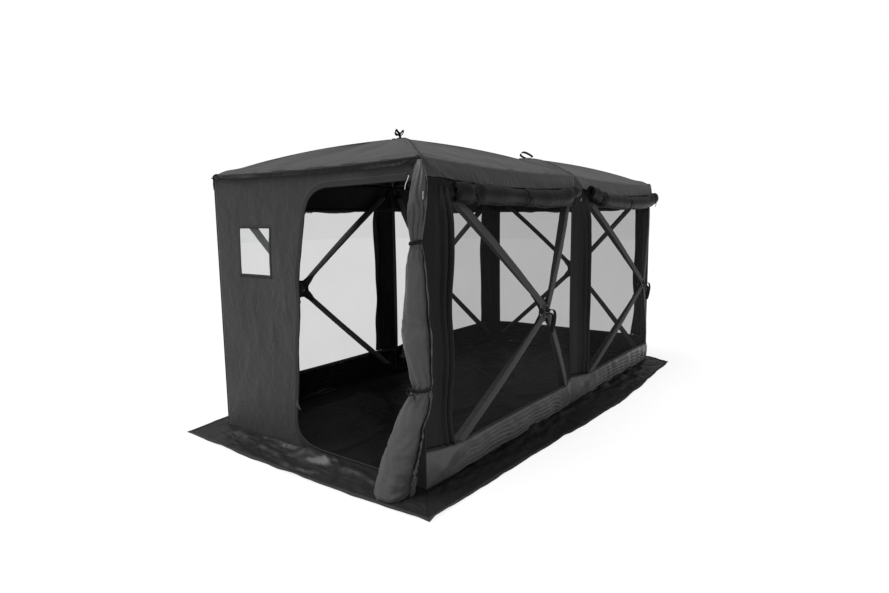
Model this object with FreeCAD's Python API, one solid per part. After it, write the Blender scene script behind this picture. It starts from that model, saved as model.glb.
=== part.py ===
"""Pop-up hub shelter: two square modules under one roof, screened side and rear walls, flat door wall.

Frame: +Z up, origin on the floor at the middle of the footprint, +Y along the length away from the
door wall, +X to the right for someone facing the door. Millimetres.
"""
import FreeCAD, Part
import math
import os

Vector = FreeCAD.Vector

# Driving dimensions ------------------------------------------------------------------------------
PANEL = 2050.0            # width of one hub panel, which is also the width of the shelter
LENGTH = 2 * PANEL        # two modules, front and rear
WALL = 2000.0             # height of every wall at the corners
CLOTH = 1.2               # thickness that a stretched cloth or mesh panel is given
FABRIC_RISE = 290.0       # how far a popped-out panel of cloth stands proud at its middle

HUB_RISE = 270.0          # height of the pole pivots above the panel's plane
HUB_RADIUS = 45.0
HUB_THICK = 24.0
PIVOT_RADIUS = 38.0       # distance of a pole's pivot pin from the middle of the hub
SLOT_WIDTH = 13.0
SLOT_DEPTH = 20.0         # length of a slot inward from the pivot circle
PIN_RADIUS = 3.0
PIN_LENGTH = 40.0
RUNNING_GAP = 0.05        # radial play of a pivot pin in its bore
CAP_THICK = 4.0
CAP_ROUND = 2.4           # radius of the cap's outer rim
BOLT_RADIUS = 4.0
BOLT_HEAD_RADIUS = 7.5
BOLT_HEAD = 6.0
HUB_HOLE = 60.0           # half width of the square gap in the cloth that the hub stands in

POLE_RADIUS = 5.5
KNUCKLE_RADIUS = 8.0
KNUCKLE_WIDTH = 12.0
FERRULE_LENGTH = 45.0
SOCKET_RADIUS = 7.3       # outside of the ferrule where it holds the rod
SOCKET_START = 12.0       # from the pivot to the start of the socket
ROD_START = 16.0          # from the pivot to the end of the rod inside the socket
NECK = 9.0
TIP_RADIUS = 7.5
TIP_LENGTH = 30.0
TIP_FLOOR = 2.0           # thickness of the end cap beyond the rod, up to its dome
TIP_INSET = 128.0         # from a panel's corner to the pole's tip, along the diagonal
TIP_DEPTH = 25.0          # depth of the pole tips behind the panel's plane

POCKET_INSET = 85.0       # from a panel's corner to the closed end of the pole pocket
POCKET_LENGTH = 85.0
POCKET_WALL = 2.5
POCKET_END_RADIUS = 14.5
POCKET_MOUTH_RADIUS = 24.5
TAB_WIDTH = 26.0
TAB_THICK = 2.5
TAB_CLEAR = 24.0          # gap between a tab's outer end and the corner

MESH_HALF = 750.0         # half height of the screened band of a wall
LEFT_STRIP = 250.0        # solid cloth strip beside the screen, on the left seen from outside
RIGHT_STRIP = 60.0

VALANCE_DROP = 108.0
VALANCE_GAP = 3.0
VALANCE_FLARE = 0.30      # outward slope of the valance over a bulging wall

STRAP_WIDTH = 25.0
STRAP_THICK = 3.0
STRAP_SPAN = 76.0
STRAP_HEIGHT = 44.0
STRAP_GAP = 0.5           # gap between the bolt head and the strap

SKIRT_THICK = 1.2
SKIRT_GAP = 3.0           # gap between the foot of a wall's plane and the skirt's inner edge
SKIRT_TIP_FRONT_RIGHT = (1280.0, -2340.0)
SKIRT_TIP_FRONT_LEFT = (-1140.0, -2350.0)
SKIRT_TIP_REAR_RIGHT = (1300.0, 2010.0)
SKIRT_TIP_REAR_LEFT = (-1290.0, 2030.0)
SKIRT_REAR_CORNER = (1075.0, 2175.0)
SKIRT_MID_RIGHT = (1385.0, 150.0)
SKIRT_MID_LEFT = (-1410.0, 60.0)
SKIRT_MID_FRONT = (250.0, -2385.0)
SKIRT_MID_REAR = (0.0, 2360.0)

WINDOW_LEFT = -742.0
WINDOW_RIGHT = -377.0
WINDOW_LOW = 1243.0
WINDOW_TOP = 1605.0
DOOR_LOW_LEFT = -152.0    # the door's left edge leans in as it rises
DOOR_HIGH_LEFT = 0.0
DOOR_RIGHT = 955.0
DOOR_SILL = 45.0
DOOR_HEAD = 1868.0
DOOR_LEFT_LOW = 230.0     # height where the curved lower corner meets the left edge
DOOR_LEFT_HIGH = 1670.0   # height where the left edge meets the curved upper corner
DOOR_TOP_TURN = 245.0     # where the upper corner meets the head
DOOR_SILL_TURN = 90.0
DOOR_SEAM = -160.0        # upright line where the plates left of the doorway meet

COVER_DROP = 222.0        # from the top of a wall to the middle of its rolled cover
COVER_HALF_HEIGHT = 75.0
COVER_HALF_DEPTH = 50.0
COVER_GAP = 8.0
COVER_MIDDLE = 0.80       # share of the half width where the roll starts to turn back to the wall
COVER_END = 0.95
TIE_WIDTH = 25.0
TIE_THICK = 2.5
TIE_GAP = 0.5             # gap between a tie and the roll inside it
COVER_TIES = (-0.72, -0.30, 0.16, 0.62)
ROLL_WALL = 3.0           # the turns of cloth lie against the outside of a roll, and its middle is empty

ROLL_RADIUS = 68.0
ROLL_X = 1018.0
ROLL_Y = -2132.0
ROLL_TOP = 1880.0
ROLL_LOW = 600.0
FLARE_BASE = (918.0, -2222.0, 3.0)
FLARE_HALF_X = 115.0
FLARE_HALF_Y = 138.0
ROLL_TIES = (1505.0, 640.0)
NECK_SQUASH = 0.02        # the roll's lower end is this much narrower in X than round

SLIDER_LENGTH = 24.0
SLIDER_HEIGHT = 12.0
SLIDER_DEPTH = 7.0
SLIDER_X = 925.0
SLIDER_ROUND = 2.0
SLIDER_GAP = 0.6          # gap between the door wall and the slider
PULL_LENGTH = 30.0
PULL_RISE = 2.0           # how far the pull reaches above the middle of the slider
PULL_WIDTH = 10.0
PULL_THICK = 2.5
PULL_GAP = 1.0
LUG_WIDTH = 6.0
LUG_LOW = 3.0
LUG_RISE = 1.0
LUG_BITE = 1.5            # how far the lug reaches into the slider

# Worked out from the driving dimensions -------------------------------------------------------------
HALF = PANEL / 2
HALF_LENGTH = LENGTH / 2
HALF_WALL = WALL / 2
X = Vector(1, 0, 0)
Y = Vector(0, 1, 0)
Z = Vector(0, 0, 1)


def panel(u, v, normal, centre, half_v):
    """A hub panel: u runs to the right and v up it, seen from outside, where normal points."""
    return {"u": u, "v": v, "n": normal, "centre": centre, "half_u": HALF, "half_v": half_v}


WALLS = {
    "right_front": panel(Y, Z, X, Vector(HALF, -HALF, HALF_WALL), HALF_WALL),
    "right_rear": panel(Y, Z, X, Vector(HALF, HALF, HALF_WALL), HALF_WALL),
    "left_front": panel(-Y, Z, -X, Vector(-HALF, -HALF, HALF_WALL), HALF_WALL),
    "left_rear": panel(-Y, Z, -X, Vector(-HALF, HALF, HALF_WALL), HALF_WALL),
    "rear": panel(-X, Z, Y, Vector(0, HALF_LENGTH, HALF_WALL), HALF_WALL),
}
ROOFS = {
    "roof_front": panel(X, Y, Z, Vector(0, -HALF, WALL), HALF),
    "roof_rear": panel(X, Y, Z, Vector(0, HALF, WALL), HALF),
}
WALL_CORNERS = {"upper_left": (-1, 1), "upper_right": (1, 1), "lower_left": (-1, -1), "lower_right": (1, -1)}
ROOF_CORNERS = {"rear_left": (-1, 1), "rear_right": (1, 1), "front_left": (-1, -1), "front_right": (1, -1)}


def save(name, solids):
    """Writes one node's solids to its own file."""
    shape = solids[0] if len(solids) == 1 else Part.makeCompound(solids)
    for number, solid in enumerate(shape.Solids):
        if not solid.isValid() or solid.Volume <= 0:
            print("BAD SOLID", name, number, solid.Volume)
    shape.exportStep(os.path.join("parts", name + ".step"))
    print(f"{name:34s} {len(shape.Solids):3d} solids {shape.Volume / 1000:10.1f} cm3")


def at(p, u, v, n):
    """A point of panel p, from its in-plane place and its distance outward."""
    return p["centre"] + p["u"] * u + p["v"] * v + p["n"] * n


def flat_plate(points, thickness):
    """A prism: a flat polygon drawn out along the vector thickness."""
    return Part.Face(Part.makePolygon(points + [points[0]])).extrude(thickness)


def box_between(low, high):
    size = high - low
    return Part.makeBox(size.x, size.y, size.z, low)


# Cloth of the hub panels ------------------------------------------------------------------------------
def rise(p, u, v):
    """How far the pulled-out cloth stands proud: a four-sided pyramid with its peak at the hub."""
    return FABRIC_RISE * (1 - max(abs(u) / p["half_u"], abs(v) / p["half_v"]))


def gore(p, outline):
    """A flat piece of one of the pyramid's four faces."""
    points = [at(p, u, v, rise(p, u, v)) for u, v in outline]
    return flat_plate(points, p["n"] * CLOTH)


def gore_solids(p, reach_v, reach_left, reach_right):
    """The four faces round the hub, cut off at a height of reach_v and at either side."""
    slope = p["half_v"] / p["half_u"]
    reach_u = reach_v / slope
    hole_v = HUB_HOLE * slope
    faces = []
    for side in (-1, 1):
        faces.append([(-reach_u, side * reach_v), (reach_u, side * reach_v),
                      (HUB_HOLE, side * hole_v), (-HUB_HOLE, side * hole_v)])
    for side, reach in ((-1, reach_left), (1, reach_right)):
        outer = [(side * reach, -reach_v), (side * reach, reach_v)]
        if reach > reach_u:
            outer = [(side * reach_u, -reach_v)] + outer + [(side * reach_u, reach_v)]
        faces.append(outer + [(side * HUB_HOLE, hole_v), (side * HUB_HOLE, -hole_v)])
    return [gore(p, face) for face in faces]


def border_solids(p):
    """Solid cloth over and under the screened band: the kick panel and the header."""
    half_v = p["half_v"]
    seam_u = MESH_HALF * HALF / half_v
    solids = []
    for side in (-1, 1):
        edge = side * half_v
        seam = side * MESH_HALF
        solids.append(gore(p, [(-HALF, edge), (HALF, edge), (seam_u, seam), (-seam_u, seam)]))
        for end in (-1, 1):
            solids.append(gore(p, [(end * HALF, edge), (end * HALF, seam), (end * seam_u, seam)]))
    return solids


def strip_solids(p):
    """The upright strips of solid cloth at both ends of the screen."""
    solids = []
    for inner, outer in ((-HALF + LEFT_STRIP, -HALF), (HALF - RIGHT_STRIP, HALF)):
        solids.append(gore(p, [(outer, -MESH_HALF), (inner, -MESH_HALF),
                               (inner, MESH_HALF), (outer, MESH_HALF)]))
    return solids


# Poles, hubs and straps --------------------------------------------------------------------------------
def corner_direction(p, corner):
    """Unit vector in the panel's plane from its middle to a corner, and the corner's distance."""
    reach = Vector(p["u"] * (corner[0] * p["half_u"]) + p["v"] * (corner[1] * p["half_v"]))
    distance = reach.Length
    return reach / distance, distance


def pole_ends(p, corner):
    """The pivot on the hub and the far tip of one pole."""
    direction, distance = corner_direction(p, corner)
    pivot = p["centre"] + direction * PIVOT_RADIUS + p["n"] * HUB_RISE
    tip = p["centre"] + direction * (distance - TIP_INSET) - p["n"] * TIP_DEPTH
    return pivot, tip


def placed(shape, origin, along, across):
    """Moves a shape made along +X and across +Y to a place and direction of its own."""
    third = along.cross(across)
    matrix = FreeCAD.Matrix(along.x, across.x, third.x, origin.x,
                            along.y, across.y, third.y, origin.y,
                            along.z, across.z, third.z, origin.z)
    return shape.transformed(matrix)


def pole(p, corner):
    """A fibreglass rod with a hinge ferrule at the hub and a rounded cap at the tip."""
    pivot, tip = pole_ends(p, corner)
    direction, _ = corner_direction(p, corner)
    hinge = direction.cross(p["n"])
    length = (tip - pivot).Length
    rod_end = length - TIP_RADIUS - TIP_FLOOR
    rod = Part.makeCylinder(POLE_RADIUS, rod_end - ROD_START, X * ROD_START, X)
    knuckle = Part.makeCylinder(KNUCKLE_RADIUS, KNUCKLE_WIDTH, -Y * (KNUCKLE_WIDTH / 2), Y)
    neck = box_between(Vector(0, -NECK / 2, -NECK / 2), Vector(ROD_START, NECK / 2, NECK / 2))
    socket = Part.makeCylinder(SOCKET_RADIUS, FERRULE_LENGTH - SOCKET_START, X * SOCKET_START, X)
    bore = Part.makeCylinder(PIN_RADIUS + RUNNING_GAP, 2 * KNUCKLE_WIDTH, -Y * KNUCKLE_WIDTH, Y)
    ferrule = knuckle.fuse([neck, socket]).cut(bore).cut(rod)
    cap = Part.makeCylinder(TIP_RADIUS, TIP_LENGTH - TIP_RADIUS, X * (length - TIP_LENGTH), X)
    dome = Part.makeSphere(TIP_RADIUS, X * (length - TIP_RADIUS))
    cap = cap.fuse(dome).removeSplitter().cut(rod)
    along = (tip - pivot) / length
    return [placed(solid, pivot, along, hinge) for shape in (rod, ferrule, cap) for solid in shape.Solids]


def hub(p, corners):
    """The slotted hub block with its pivot pins, the outer cap disc and the bolt through both."""
    n = p["n"]
    middle = p["centre"] + n * HUB_RISE
    block = Part.makeCylinder(HUB_RADIUS, HUB_THICK, middle - n * (HUB_THICK / 2), n)
    pins = []
    for corner in corners.values():
        direction, _ = corner_direction(p, corner)
        hinge = direction.cross(n)
        slot_start = middle + direction * (PIVOT_RADIUS - SLOT_DEPTH / 2)
        slot = flat_plate([slot_start - hinge * (SLOT_WIDTH / 2) - n * HUB_THICK,
                           slot_start + hinge * (SLOT_WIDTH / 2) - n * HUB_THICK,
                           slot_start + hinge * (SLOT_WIDTH / 2) + n * HUB_THICK,
                           slot_start - hinge * (SLOT_WIDTH / 2) + n * HUB_THICK],
                          direction * HUB_RADIUS)
        seat = middle + direction * PIVOT_RADIUS - hinge * (PIN_LENGTH / 2)
        pin = Part.makeCylinder(PIN_RADIUS, PIN_LENGTH, seat, hinge)
        block = block.cut(slot).cut(pin)
        pins.append(pin)
    bolt_start = middle - n * (HUB_THICK / 2 + BOLT_HEAD)
    shank_length = HUB_THICK + CAP_THICK + BOLT_HEAD
    shank = Part.makeCylinder(BOLT_RADIUS, shank_length, bolt_start, n)
    head = Part.makeCylinder(BOLT_HEAD_RADIUS, BOLT_HEAD / 2, bolt_start + n * shank_length, n)
    nut = Part.makeCylinder(BOLT_HEAD_RADIUS, BOLT_HEAD, bolt_start, n)
    bolt = shank.fuse(head).fuse(nut).removeSplitter()
    cap = Part.makeCylinder(HUB_RADIUS, CAP_THICK, middle + n * (HUB_THICK / 2), n)
    rim = cap.makeFillet(CAP_ROUND, [cap.Edges[0]])
    return [block.cut(bolt), rim.cut(bolt), bolt] + pins


def strap(p):
    """A loop of webbing on the outside of the hub, wide enough for a hand's fingers to pull."""
    n = p["n"]
    foot = p["centre"] + n * (HUB_RISE + HUB_THICK / 2 + CAP_THICK + BOLT_HEAD / 2 + STRAP_GAP)
    half_width = p["u"] * (STRAP_WIDTH / 2)
    half_span = p["v"] * (STRAP_SPAN / 2)
    side = p["v"] * STRAP_THICK

    def band(start, end, thickness):
        return flat_plate([start - half_width, start + half_width, end + half_width, end - half_width],
                          thickness)

    base = band(foot - half_span, foot + half_span, n * STRAP_THICK)
    top = band(foot - half_span + n * (STRAP_HEIGHT - STRAP_THICK),
               foot + half_span + n * (STRAP_HEIGHT - STRAP_THICK), n * STRAP_THICK)
    inner, outer = n * STRAP_THICK, n * (STRAP_HEIGHT - STRAP_THICK)
    low = band(foot - half_span + inner, foot - half_span + outer, side)
    high = band(foot + half_span + inner, foot + half_span + outer, -side)
    return [base, top, low, high]


def pocket(p, corner):
    """A tapered cup that a pole's tip sits in, and the tab that sews it to the corner."""
    direction, distance = corner_direction(p, corner)
    n = p["n"]
    end = p["centre"] + direction * (distance - POCKET_INSET) - n * TIP_DEPTH
    outer = Part.makeCone(POCKET_END_RADIUS, POCKET_MOUTH_RADIUS, POCKET_LENGTH, end, -direction)
    inner = Part.makeCone(POCKET_END_RADIUS - POCKET_WALL, POCKET_MOUTH_RADIUS - POCKET_WALL,
                          POCKET_LENGTH, end - direction * POCKET_WALL, -direction)
    across = direction.cross(n) * (TAB_WIDTH / 2)
    lift = n * (TAB_THICK / 2)
    tab = flat_plate([end - across - lift, end + across - lift, end + across + lift, end - across + lift],
                     direction * (POCKET_INSET - TAB_CLEAR))
    return [outer.cut(inner), tab]


# Roof, door wall, floor and skirt -------------------------------------------------------------------------
def valance(start, end, outward, flare):
    """A strip of cloth hanging from the roof's edge between two points, sloping out by flare."""
    top_gap = outward * VALANCE_GAP
    drop = outward * (VALANCE_GAP + flare * VALANCE_DROP) - Z * VALANCE_DROP
    return flat_plate([start + top_gap, end + top_gap, end + drop, start + drop], outward * CLOTH)


def roof(p, front):
    """A roof panel with the valance on its three outer edges."""
    solids = gore_solids(p, HALF, HALF, HALF)
    y_end = -HALF_LENGTH if front else HALF_LENGTH
    for side in (-1, 1):
        start, end = Vector(side * HALF, 0, WALL), Vector(side * HALF, y_end, WALL)
        solids.append(valance(start, end, X * side, VALANCE_FLARE))
    outward = -Y if front else Y
    flare = 0.0 if front else VALANCE_FLARE
    solids.append(valance(Vector(-HALF, y_end, WALL), Vector(HALF, y_end, WALL), outward, flare))
    return solids


def wall_plate(outline):
    """A flat piece of the door wall, from its outline in X and Z."""
    return flat_plate([Vector(x, -HALF_LENGTH, z) for x, z in outline], -Y * CLOTH)


def rectangle(left, low, right, top):
    return [(left, low), (right, low), (right, top), (left, top)]


def front_wall():
    """The flat door wall, in plates round the window and the doorway."""
    outlines = [
        rectangle(-HALF, 0, WINDOW_LEFT, WALL),
        rectangle(WINDOW_LEFT, WINDOW_TOP, WINDOW_RIGHT, WALL),
        rectangle(WINDOW_LEFT, 0, WINDOW_RIGHT, WINDOW_LOW),
        rectangle(WINDOW_RIGHT, 0, DOOR_SEAM, WALL),
        [(DOOR_SEAM, DOOR_LEFT_LOW), (DOOR_LOW_LEFT, DOOR_LEFT_LOW), (DOOR_HIGH_LEFT, DOOR_LEFT_HIGH),
         (DOOR_HIGH_LEFT, WALL), (DOOR_SEAM, WALL)],
        [(DOOR_HIGH_LEFT, DOOR_LEFT_HIGH), (DOOR_TOP_TURN, DOOR_HEAD),
         (DOOR_TOP_TURN, WALL), (DOOR_HIGH_LEFT, WALL)],
        rectangle(DOOR_TOP_TURN, DOOR_HEAD, DOOR_RIGHT, WALL),
        rectangle(DOOR_RIGHT, 0, HALF, WALL),
        [(DOOR_SEAM, 0), (DOOR_SILL_TURN, 0), (DOOR_SILL_TURN, DOOR_SILL), (DOOR_LOW_LEFT, DOOR_LEFT_LOW),
         (DOOR_SEAM, DOOR_LEFT_LOW)],
        rectangle(DOOR_SILL_TURN, 0, DOOR_RIGHT, DOOR_SILL),
    ]
    return [wall_plate(outline) for outline in outlines]


def skirt_strip(outline):
    return flat_plate([Vector(x, y, 0) for x, y in outline], Z * SKIRT_THICK)


def ground_skirt():
    """Four strips lying on the ground outside the walls, mitred at the corners and bowed at mid side."""
    inner_x = HALF + SKIRT_GAP
    inner_y = HALF_LENGTH + SKIRT_GAP
    rear_corner_left = (-SKIRT_REAR_CORNER[0], SKIRT_REAR_CORNER[1])
    right = [(inner_x, -inner_y), SKIRT_TIP_FRONT_RIGHT, SKIRT_MID_RIGHT, SKIRT_TIP_REAR_RIGHT,
             SKIRT_REAR_CORNER, (inner_x, inner_y)]
    left = [(-inner_x, -inner_y), SKIRT_TIP_FRONT_LEFT, SKIRT_MID_LEFT, SKIRT_TIP_REAR_LEFT,
            rear_corner_left, (-inner_x, inner_y)]
    front = [(-inner_x, -inner_y), SKIRT_TIP_FRONT_LEFT, SKIRT_MID_FRONT, SKIRT_TIP_FRONT_RIGHT,
             (inner_x, -inner_y)]
    rear = [(-inner_x, inner_y), rear_corner_left, SKIRT_MID_REAR, SKIRT_REAR_CORNER, (inner_x, inner_y)]
    return [skirt_strip(outline) for outline in (right, left, front, rear)]


# Rolled covers, rolled door, ties and zip ------------------------------------------------------------
def cover_centre(p, share):
    """Middle of the rolled cover at a share of the panel's half width."""
    fall = COVER_DROP / HALF_WALL if abs(share) <= COVER_MIDDLE else 1 - abs(share)
    lift = FABRIC_RISE * fall + CLOTH + COVER_HALF_DEPTH + COVER_GAP
    return at(p, share * HALF, HALF_WALL - COVER_DROP, lift)


def cover_section(p, centre, grow):
    """An ellipse across the roll, with its long axis upright, grown by a few millimetres."""
    upright = centre + Z * (COVER_HALF_HEIGHT + grow)
    outward = centre + p["n"] * (COVER_HALF_DEPTH + grow)
    curve = Part.Ellipse(upright, outward, centre)
    return Part.Wire([curve.toShape()])


def rolled_cover(p):
    """A straight tube over the screen, with a shorter one at each end that turns back to the wall."""
    shares = (-COVER_END, -COVER_MIDDLE, COVER_MIDDLE, COVER_END)
    tubes = []
    for start, end in zip(shares, shares[1:]):
        ends = [cover_centre(p, share) for share in (start, end)]
        outer, inner = (Part.makeLoft([cover_section(p, centre, grow) for centre in ends], True, True)
                        for grow in (0, -ROLL_WALL))
        tubes.append(outer.cut(inner))
    return tubes


def cover_tie(p, share):
    """A flat tie band that goes round the roll."""
    middle = cover_centre(p, share)
    start = middle - p["u"] * (TIE_WIDTH / 2)
    outer = Part.Face(cover_section(p, start, TIE_GAP + TIE_THICK)).extrude(p["u"] * TIE_WIDTH)
    inner = Part.Face(cover_section(p, start, TIE_GAP)).extrude(p["u"] * TIE_WIDTH)
    return outer.cut(inner)


def oval(centre, half_x, half_y):
    """A level ellipse, longer along Y."""
    return Part.Wire([Part.Ellipse(centre + Y * half_y, centre + X * half_x, centre).toShape()])


def door_roll():
    """The rolled door flap: a tight roll that opens into a cone where its lower end lies on the skirt."""
    neck_centre = Vector(ROLL_X, ROLL_Y, ROLL_LOW)
    shells = []
    for wall in (0, ROLL_WALL):
        radius = ROLL_RADIUS - wall
        body = Part.makeCylinder(radius, ROLL_TOP - ROLL_LOW, neck_centre, Z)
        neck = oval(neck_centre, radius - NECK_SQUASH, radius)
        foot = oval(Vector(*FLARE_BASE), FLARE_HALF_X - wall, FLARE_HALF_Y - wall)
        shells.append((body, Part.makeLoft([neck, foot], True, True)))
    return [outer.cut(inner) for outer, inner in zip(*shells)]


def door_tie(height):
    outer = Part.makeCylinder(ROLL_RADIUS + TIE_GAP + TIE_THICK, TIE_WIDTH, Vector(ROLL_X, ROLL_Y, height), Z)
    inner = Part.makeCylinder(ROLL_RADIUS + TIE_GAP, TIE_WIDTH, Vector(ROLL_X, ROLL_Y, height), Z)
    return outer.cut(inner)


def zip_slider():
    """The slider on the sill run of the door zip, with its pull hanging in front."""
    face = -HALF_LENGTH - CLOTH - SLIDER_GAP
    front = face - SLIDER_DEPTH
    body = box_between(Vector(SLIDER_X - SLIDER_LENGTH / 2, front, DOOR_SILL - SLIDER_HEIGHT / 2),
                       Vector(SLIDER_X + SLIDER_LENGTH / 2, face, DOOR_SILL + SLIDER_HEIGHT / 2))
    body = body.makeFillet(SLIDER_ROUND, body.Edges)
    pull_face = front - PULL_GAP
    pull = box_between(Vector(SLIDER_X - PULL_WIDTH / 2, pull_face - PULL_THICK, DOOR_SILL - PULL_LENGTH),
                       Vector(SLIDER_X + PULL_WIDTH / 2, pull_face, DOOR_SILL + PULL_RISE))
    lug = box_between(Vector(SLIDER_X - LUG_WIDTH / 2, front - PULL_GAP, DOOR_SILL - LUG_LOW),
                      Vector(SLIDER_X + LUG_WIDTH / 2, front + LUG_BITE, DOOR_SILL + LUG_RISE))
    return [body.fuse([lug, pull]).removeSplitter()]


def build():
    os.makedirs("parts", exist_ok=True)
    panels = {**WALLS, **ROOFS}
    for name, p in panels.items():
        corners = WALL_CORNERS if name in WALLS else ROOF_CORNERS
        save(name + "_hub", hub(p, corners))
        save(name + "_strap", strap(p))
        for corner_name, corner in corners.items():
            save(f"{name}_pole_{corner_name}", pole(p, corner))

    for name, p in WALLS.items():
        save(name + "_screen", gore_solids(p, MESH_HALF, HALF - LEFT_STRIP, HALF - RIGHT_STRIP))
    save("kick_and_header_panels", [s for p in WALLS.values() for s in border_solids(p)])
    save("wall_strips", [s for p in WALLS.values() for s in strip_solids(p)])
    save("roof_front", roof(ROOFS["roof_front"], True))
    save("roof_rear", roof(ROOFS["roof_rear"], False))

    pockets = []
    for name, p in panels.items():
        corners = WALL_CORNERS if name in WALLS else ROOF_CORNERS
        for corner in corners.values():
            pockets += pocket(p, corner)
    save("corner_pockets", pockets)

    save("front_wall", front_wall())
    save("front_window", [wall_plate(rectangle(WINDOW_LEFT, WINDOW_LOW, WINDOW_RIGHT, WINDOW_TOP))])
    save("floor", [box_between(Vector(-HALF, -HALF_LENGTH, 0), Vector(HALF, HALF_LENGTH, CLOTH))])
    save("ground_skirt", ground_skirt())
    save("rolled_covers", [tube for p in WALLS.values() for tube in rolled_cover(p)])
    save("door_roll", door_roll())
    ties = [cover_tie(p, share) for p in WALLS.values() for share in COVER_TIES]
    save("roll_ties", ties + [door_tie(height) for height in ROLL_TIES])
    save("door_zip_slider", zip_slider())


build()
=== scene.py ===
"""Looks of the pop-up hub shelter: stretched cloth and mesh on its frame of hubs and poles."""
import math

import bpy
import numpy as np
from numpy import arctan2, array, clip, concatenate, cos, cross, exp, hypot, linspace, maximum, meshgrid
from numpy import minimum, pi, sin
from numpy.linalg import norm
from mathutils import Matrix, Vector


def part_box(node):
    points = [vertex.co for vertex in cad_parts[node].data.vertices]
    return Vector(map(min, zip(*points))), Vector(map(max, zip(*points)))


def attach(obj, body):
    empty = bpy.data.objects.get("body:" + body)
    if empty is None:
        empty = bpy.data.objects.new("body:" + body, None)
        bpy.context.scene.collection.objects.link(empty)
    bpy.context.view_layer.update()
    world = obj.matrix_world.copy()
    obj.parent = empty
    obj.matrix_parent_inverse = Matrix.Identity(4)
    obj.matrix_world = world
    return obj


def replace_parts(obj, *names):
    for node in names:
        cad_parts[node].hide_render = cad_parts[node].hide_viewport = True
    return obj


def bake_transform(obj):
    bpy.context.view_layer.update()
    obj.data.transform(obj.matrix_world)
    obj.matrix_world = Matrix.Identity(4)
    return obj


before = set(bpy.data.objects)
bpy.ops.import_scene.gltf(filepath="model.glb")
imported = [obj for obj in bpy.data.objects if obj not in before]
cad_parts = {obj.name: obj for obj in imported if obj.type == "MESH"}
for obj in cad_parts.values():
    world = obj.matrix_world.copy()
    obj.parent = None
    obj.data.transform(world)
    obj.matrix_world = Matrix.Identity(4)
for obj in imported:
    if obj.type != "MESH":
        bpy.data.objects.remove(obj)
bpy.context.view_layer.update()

# Sizes, in metres ----
FLOOR_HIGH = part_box("floor")[1]
HALF = FLOOR_HIGH.x
HALF_LENGTH = FLOOR_HIGH.y
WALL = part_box("front_wall")[1].z
HALF_WALL = WALL / 2
WINDOW_LOW, WINDOW_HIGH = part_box("front_window")
CLOTH_RISE = 0.290        # peak of a popped-out panel over its plane
CLOTH_AT_HUB = 0.2803     # the cloth is held flat between the hub block and its cap
CLOTH = 0.0012            # thickness, thicker than real cloth
PIVOT_RADIUS = 0.038      # the poles' hinge pins from the hub's middle
HUB_RISE = 0.270          # of those pins over the panel's plane
TIP_INSET = 0.128         # the poles' tips from the panel's corners, along the diagonal
TIP_DEPTH = 0.025
MESH_HALF = 0.75          # half the screen's height
LEFT_STRIP = 0.25
RIGHT_STRIP = 0.06
SLEEVE_WIDTH = 0.057
ROD_HUG = 0.0095          # radius of the sleeve's fold round the rod
EAVE_SAG, END_SAG = 0.022, 0.020   # how far the long and the short sides hang in between the corners
SKIRT_COLUMNS, HEM_COLUMNS = 30, 4

# Camera ----
CAMERA_PLACE = (3.151, -4.684, 1.630)
CAMERA_YAW = math.radians(-36.74)      # to the right of +Y
CAMERA_PITCH = math.radians(7.372)     # below the horizon
CAMERA_ROLL = math.radians(-0.754)
FOCAL_PIXELS = 584.8
IMAGE_WIDTH = 889
SENSOR = 36.0


def add_camera():
    data = bpy.data.cameras.new("camera")
    data.sensor_width = SENSOR
    data.lens = FOCAL_PIXELS * SENSOR / IMAGE_WIDTH
    camera = bpy.data.objects.new("camera", data)
    bpy.context.scene.collection.objects.link(camera)
    ahead = Vector((math.sin(CAMERA_YAW) * math.cos(CAMERA_PITCH),
                    math.cos(CAMERA_YAW) * math.cos(CAMERA_PITCH), -math.sin(CAMERA_PITCH)))
    level = Vector((math.cos(CAMERA_YAW), -math.sin(CAMERA_YAW), 0))
    above = level.cross(ahead)
    right = level * math.cos(CAMERA_ROLL) + above * math.sin(CAMERA_ROLL)
    up = above * math.cos(CAMERA_ROLL) - level * math.sin(CAMERA_ROLL)
    camera.matrix_world = Matrix.Translation(CAMERA_PLACE) @ Matrix((right, up, -ahead)).transposed().to_4x4()
    bpy.context.scene.camera = camera


add_camera()


# Hub panels ----
class Panel:
    """A hub panel: u runs to the right and v up it, seen from outside, where n points."""

    def __init__(self, name, u, v, n, centre, half_v):
        self.name = name
        self.u, self.v, self.n, self.centre = (array(a, float) for a in (u, v, n, centre))
        self.half_u = HALF
        self.half_v = half_v
        self.diagonal = math.hypot(HALF, half_v)
        self.hub = name + "_hub"

    def at(self, u, v, n):
        """Points from in-plane places and distances outward."""
        u, v, n = np.broadcast_arrays(u, v, n)
        return self.centre + u[..., None] * self.u + v[..., None] * self.v + n[..., None] * self.n

    def share(self, u, v):
        """0 at the hub, 1 at the panel's edge."""
        return maximum(abs(u) / self.half_u, abs(v) / self.half_v)

    def weight(self, u, v):
        """How far cloth follows the hub: all the way at the poles' pivots, not at all past their tips."""
        tip = 1 - TIP_INSET / self.diagonal
        pivot = PIVOT_RADIUS / self.diagonal
        return clip((tip - self.share(u, v)) / (tip - pivot), 0, 1)

    def surface(self, u, v):
        """Height of the stretched cloth: a pyramid bowed up over its poles and a little hollow between them."""
        m = self.share(u, v)
        low = minimum(abs(u) / self.half_u, abs(v) / self.half_v)
        between = 1 - (low / maximum(m, 1e-6)) ** 2
        shoulder = 0.30 * exp(-((m - 0.935) / 0.045) ** 2) * (1 - smooth(m, 0.95, 1.0))
        half_wave = sin(pi * clip(m, 0, 1)) + shoulder
        cone = minimum(CLOTH_RISE * (1 - m), CLOTH_AT_HUB)
        return cone + self.bow * half_wave - self.hollow * half_wave * between


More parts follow.
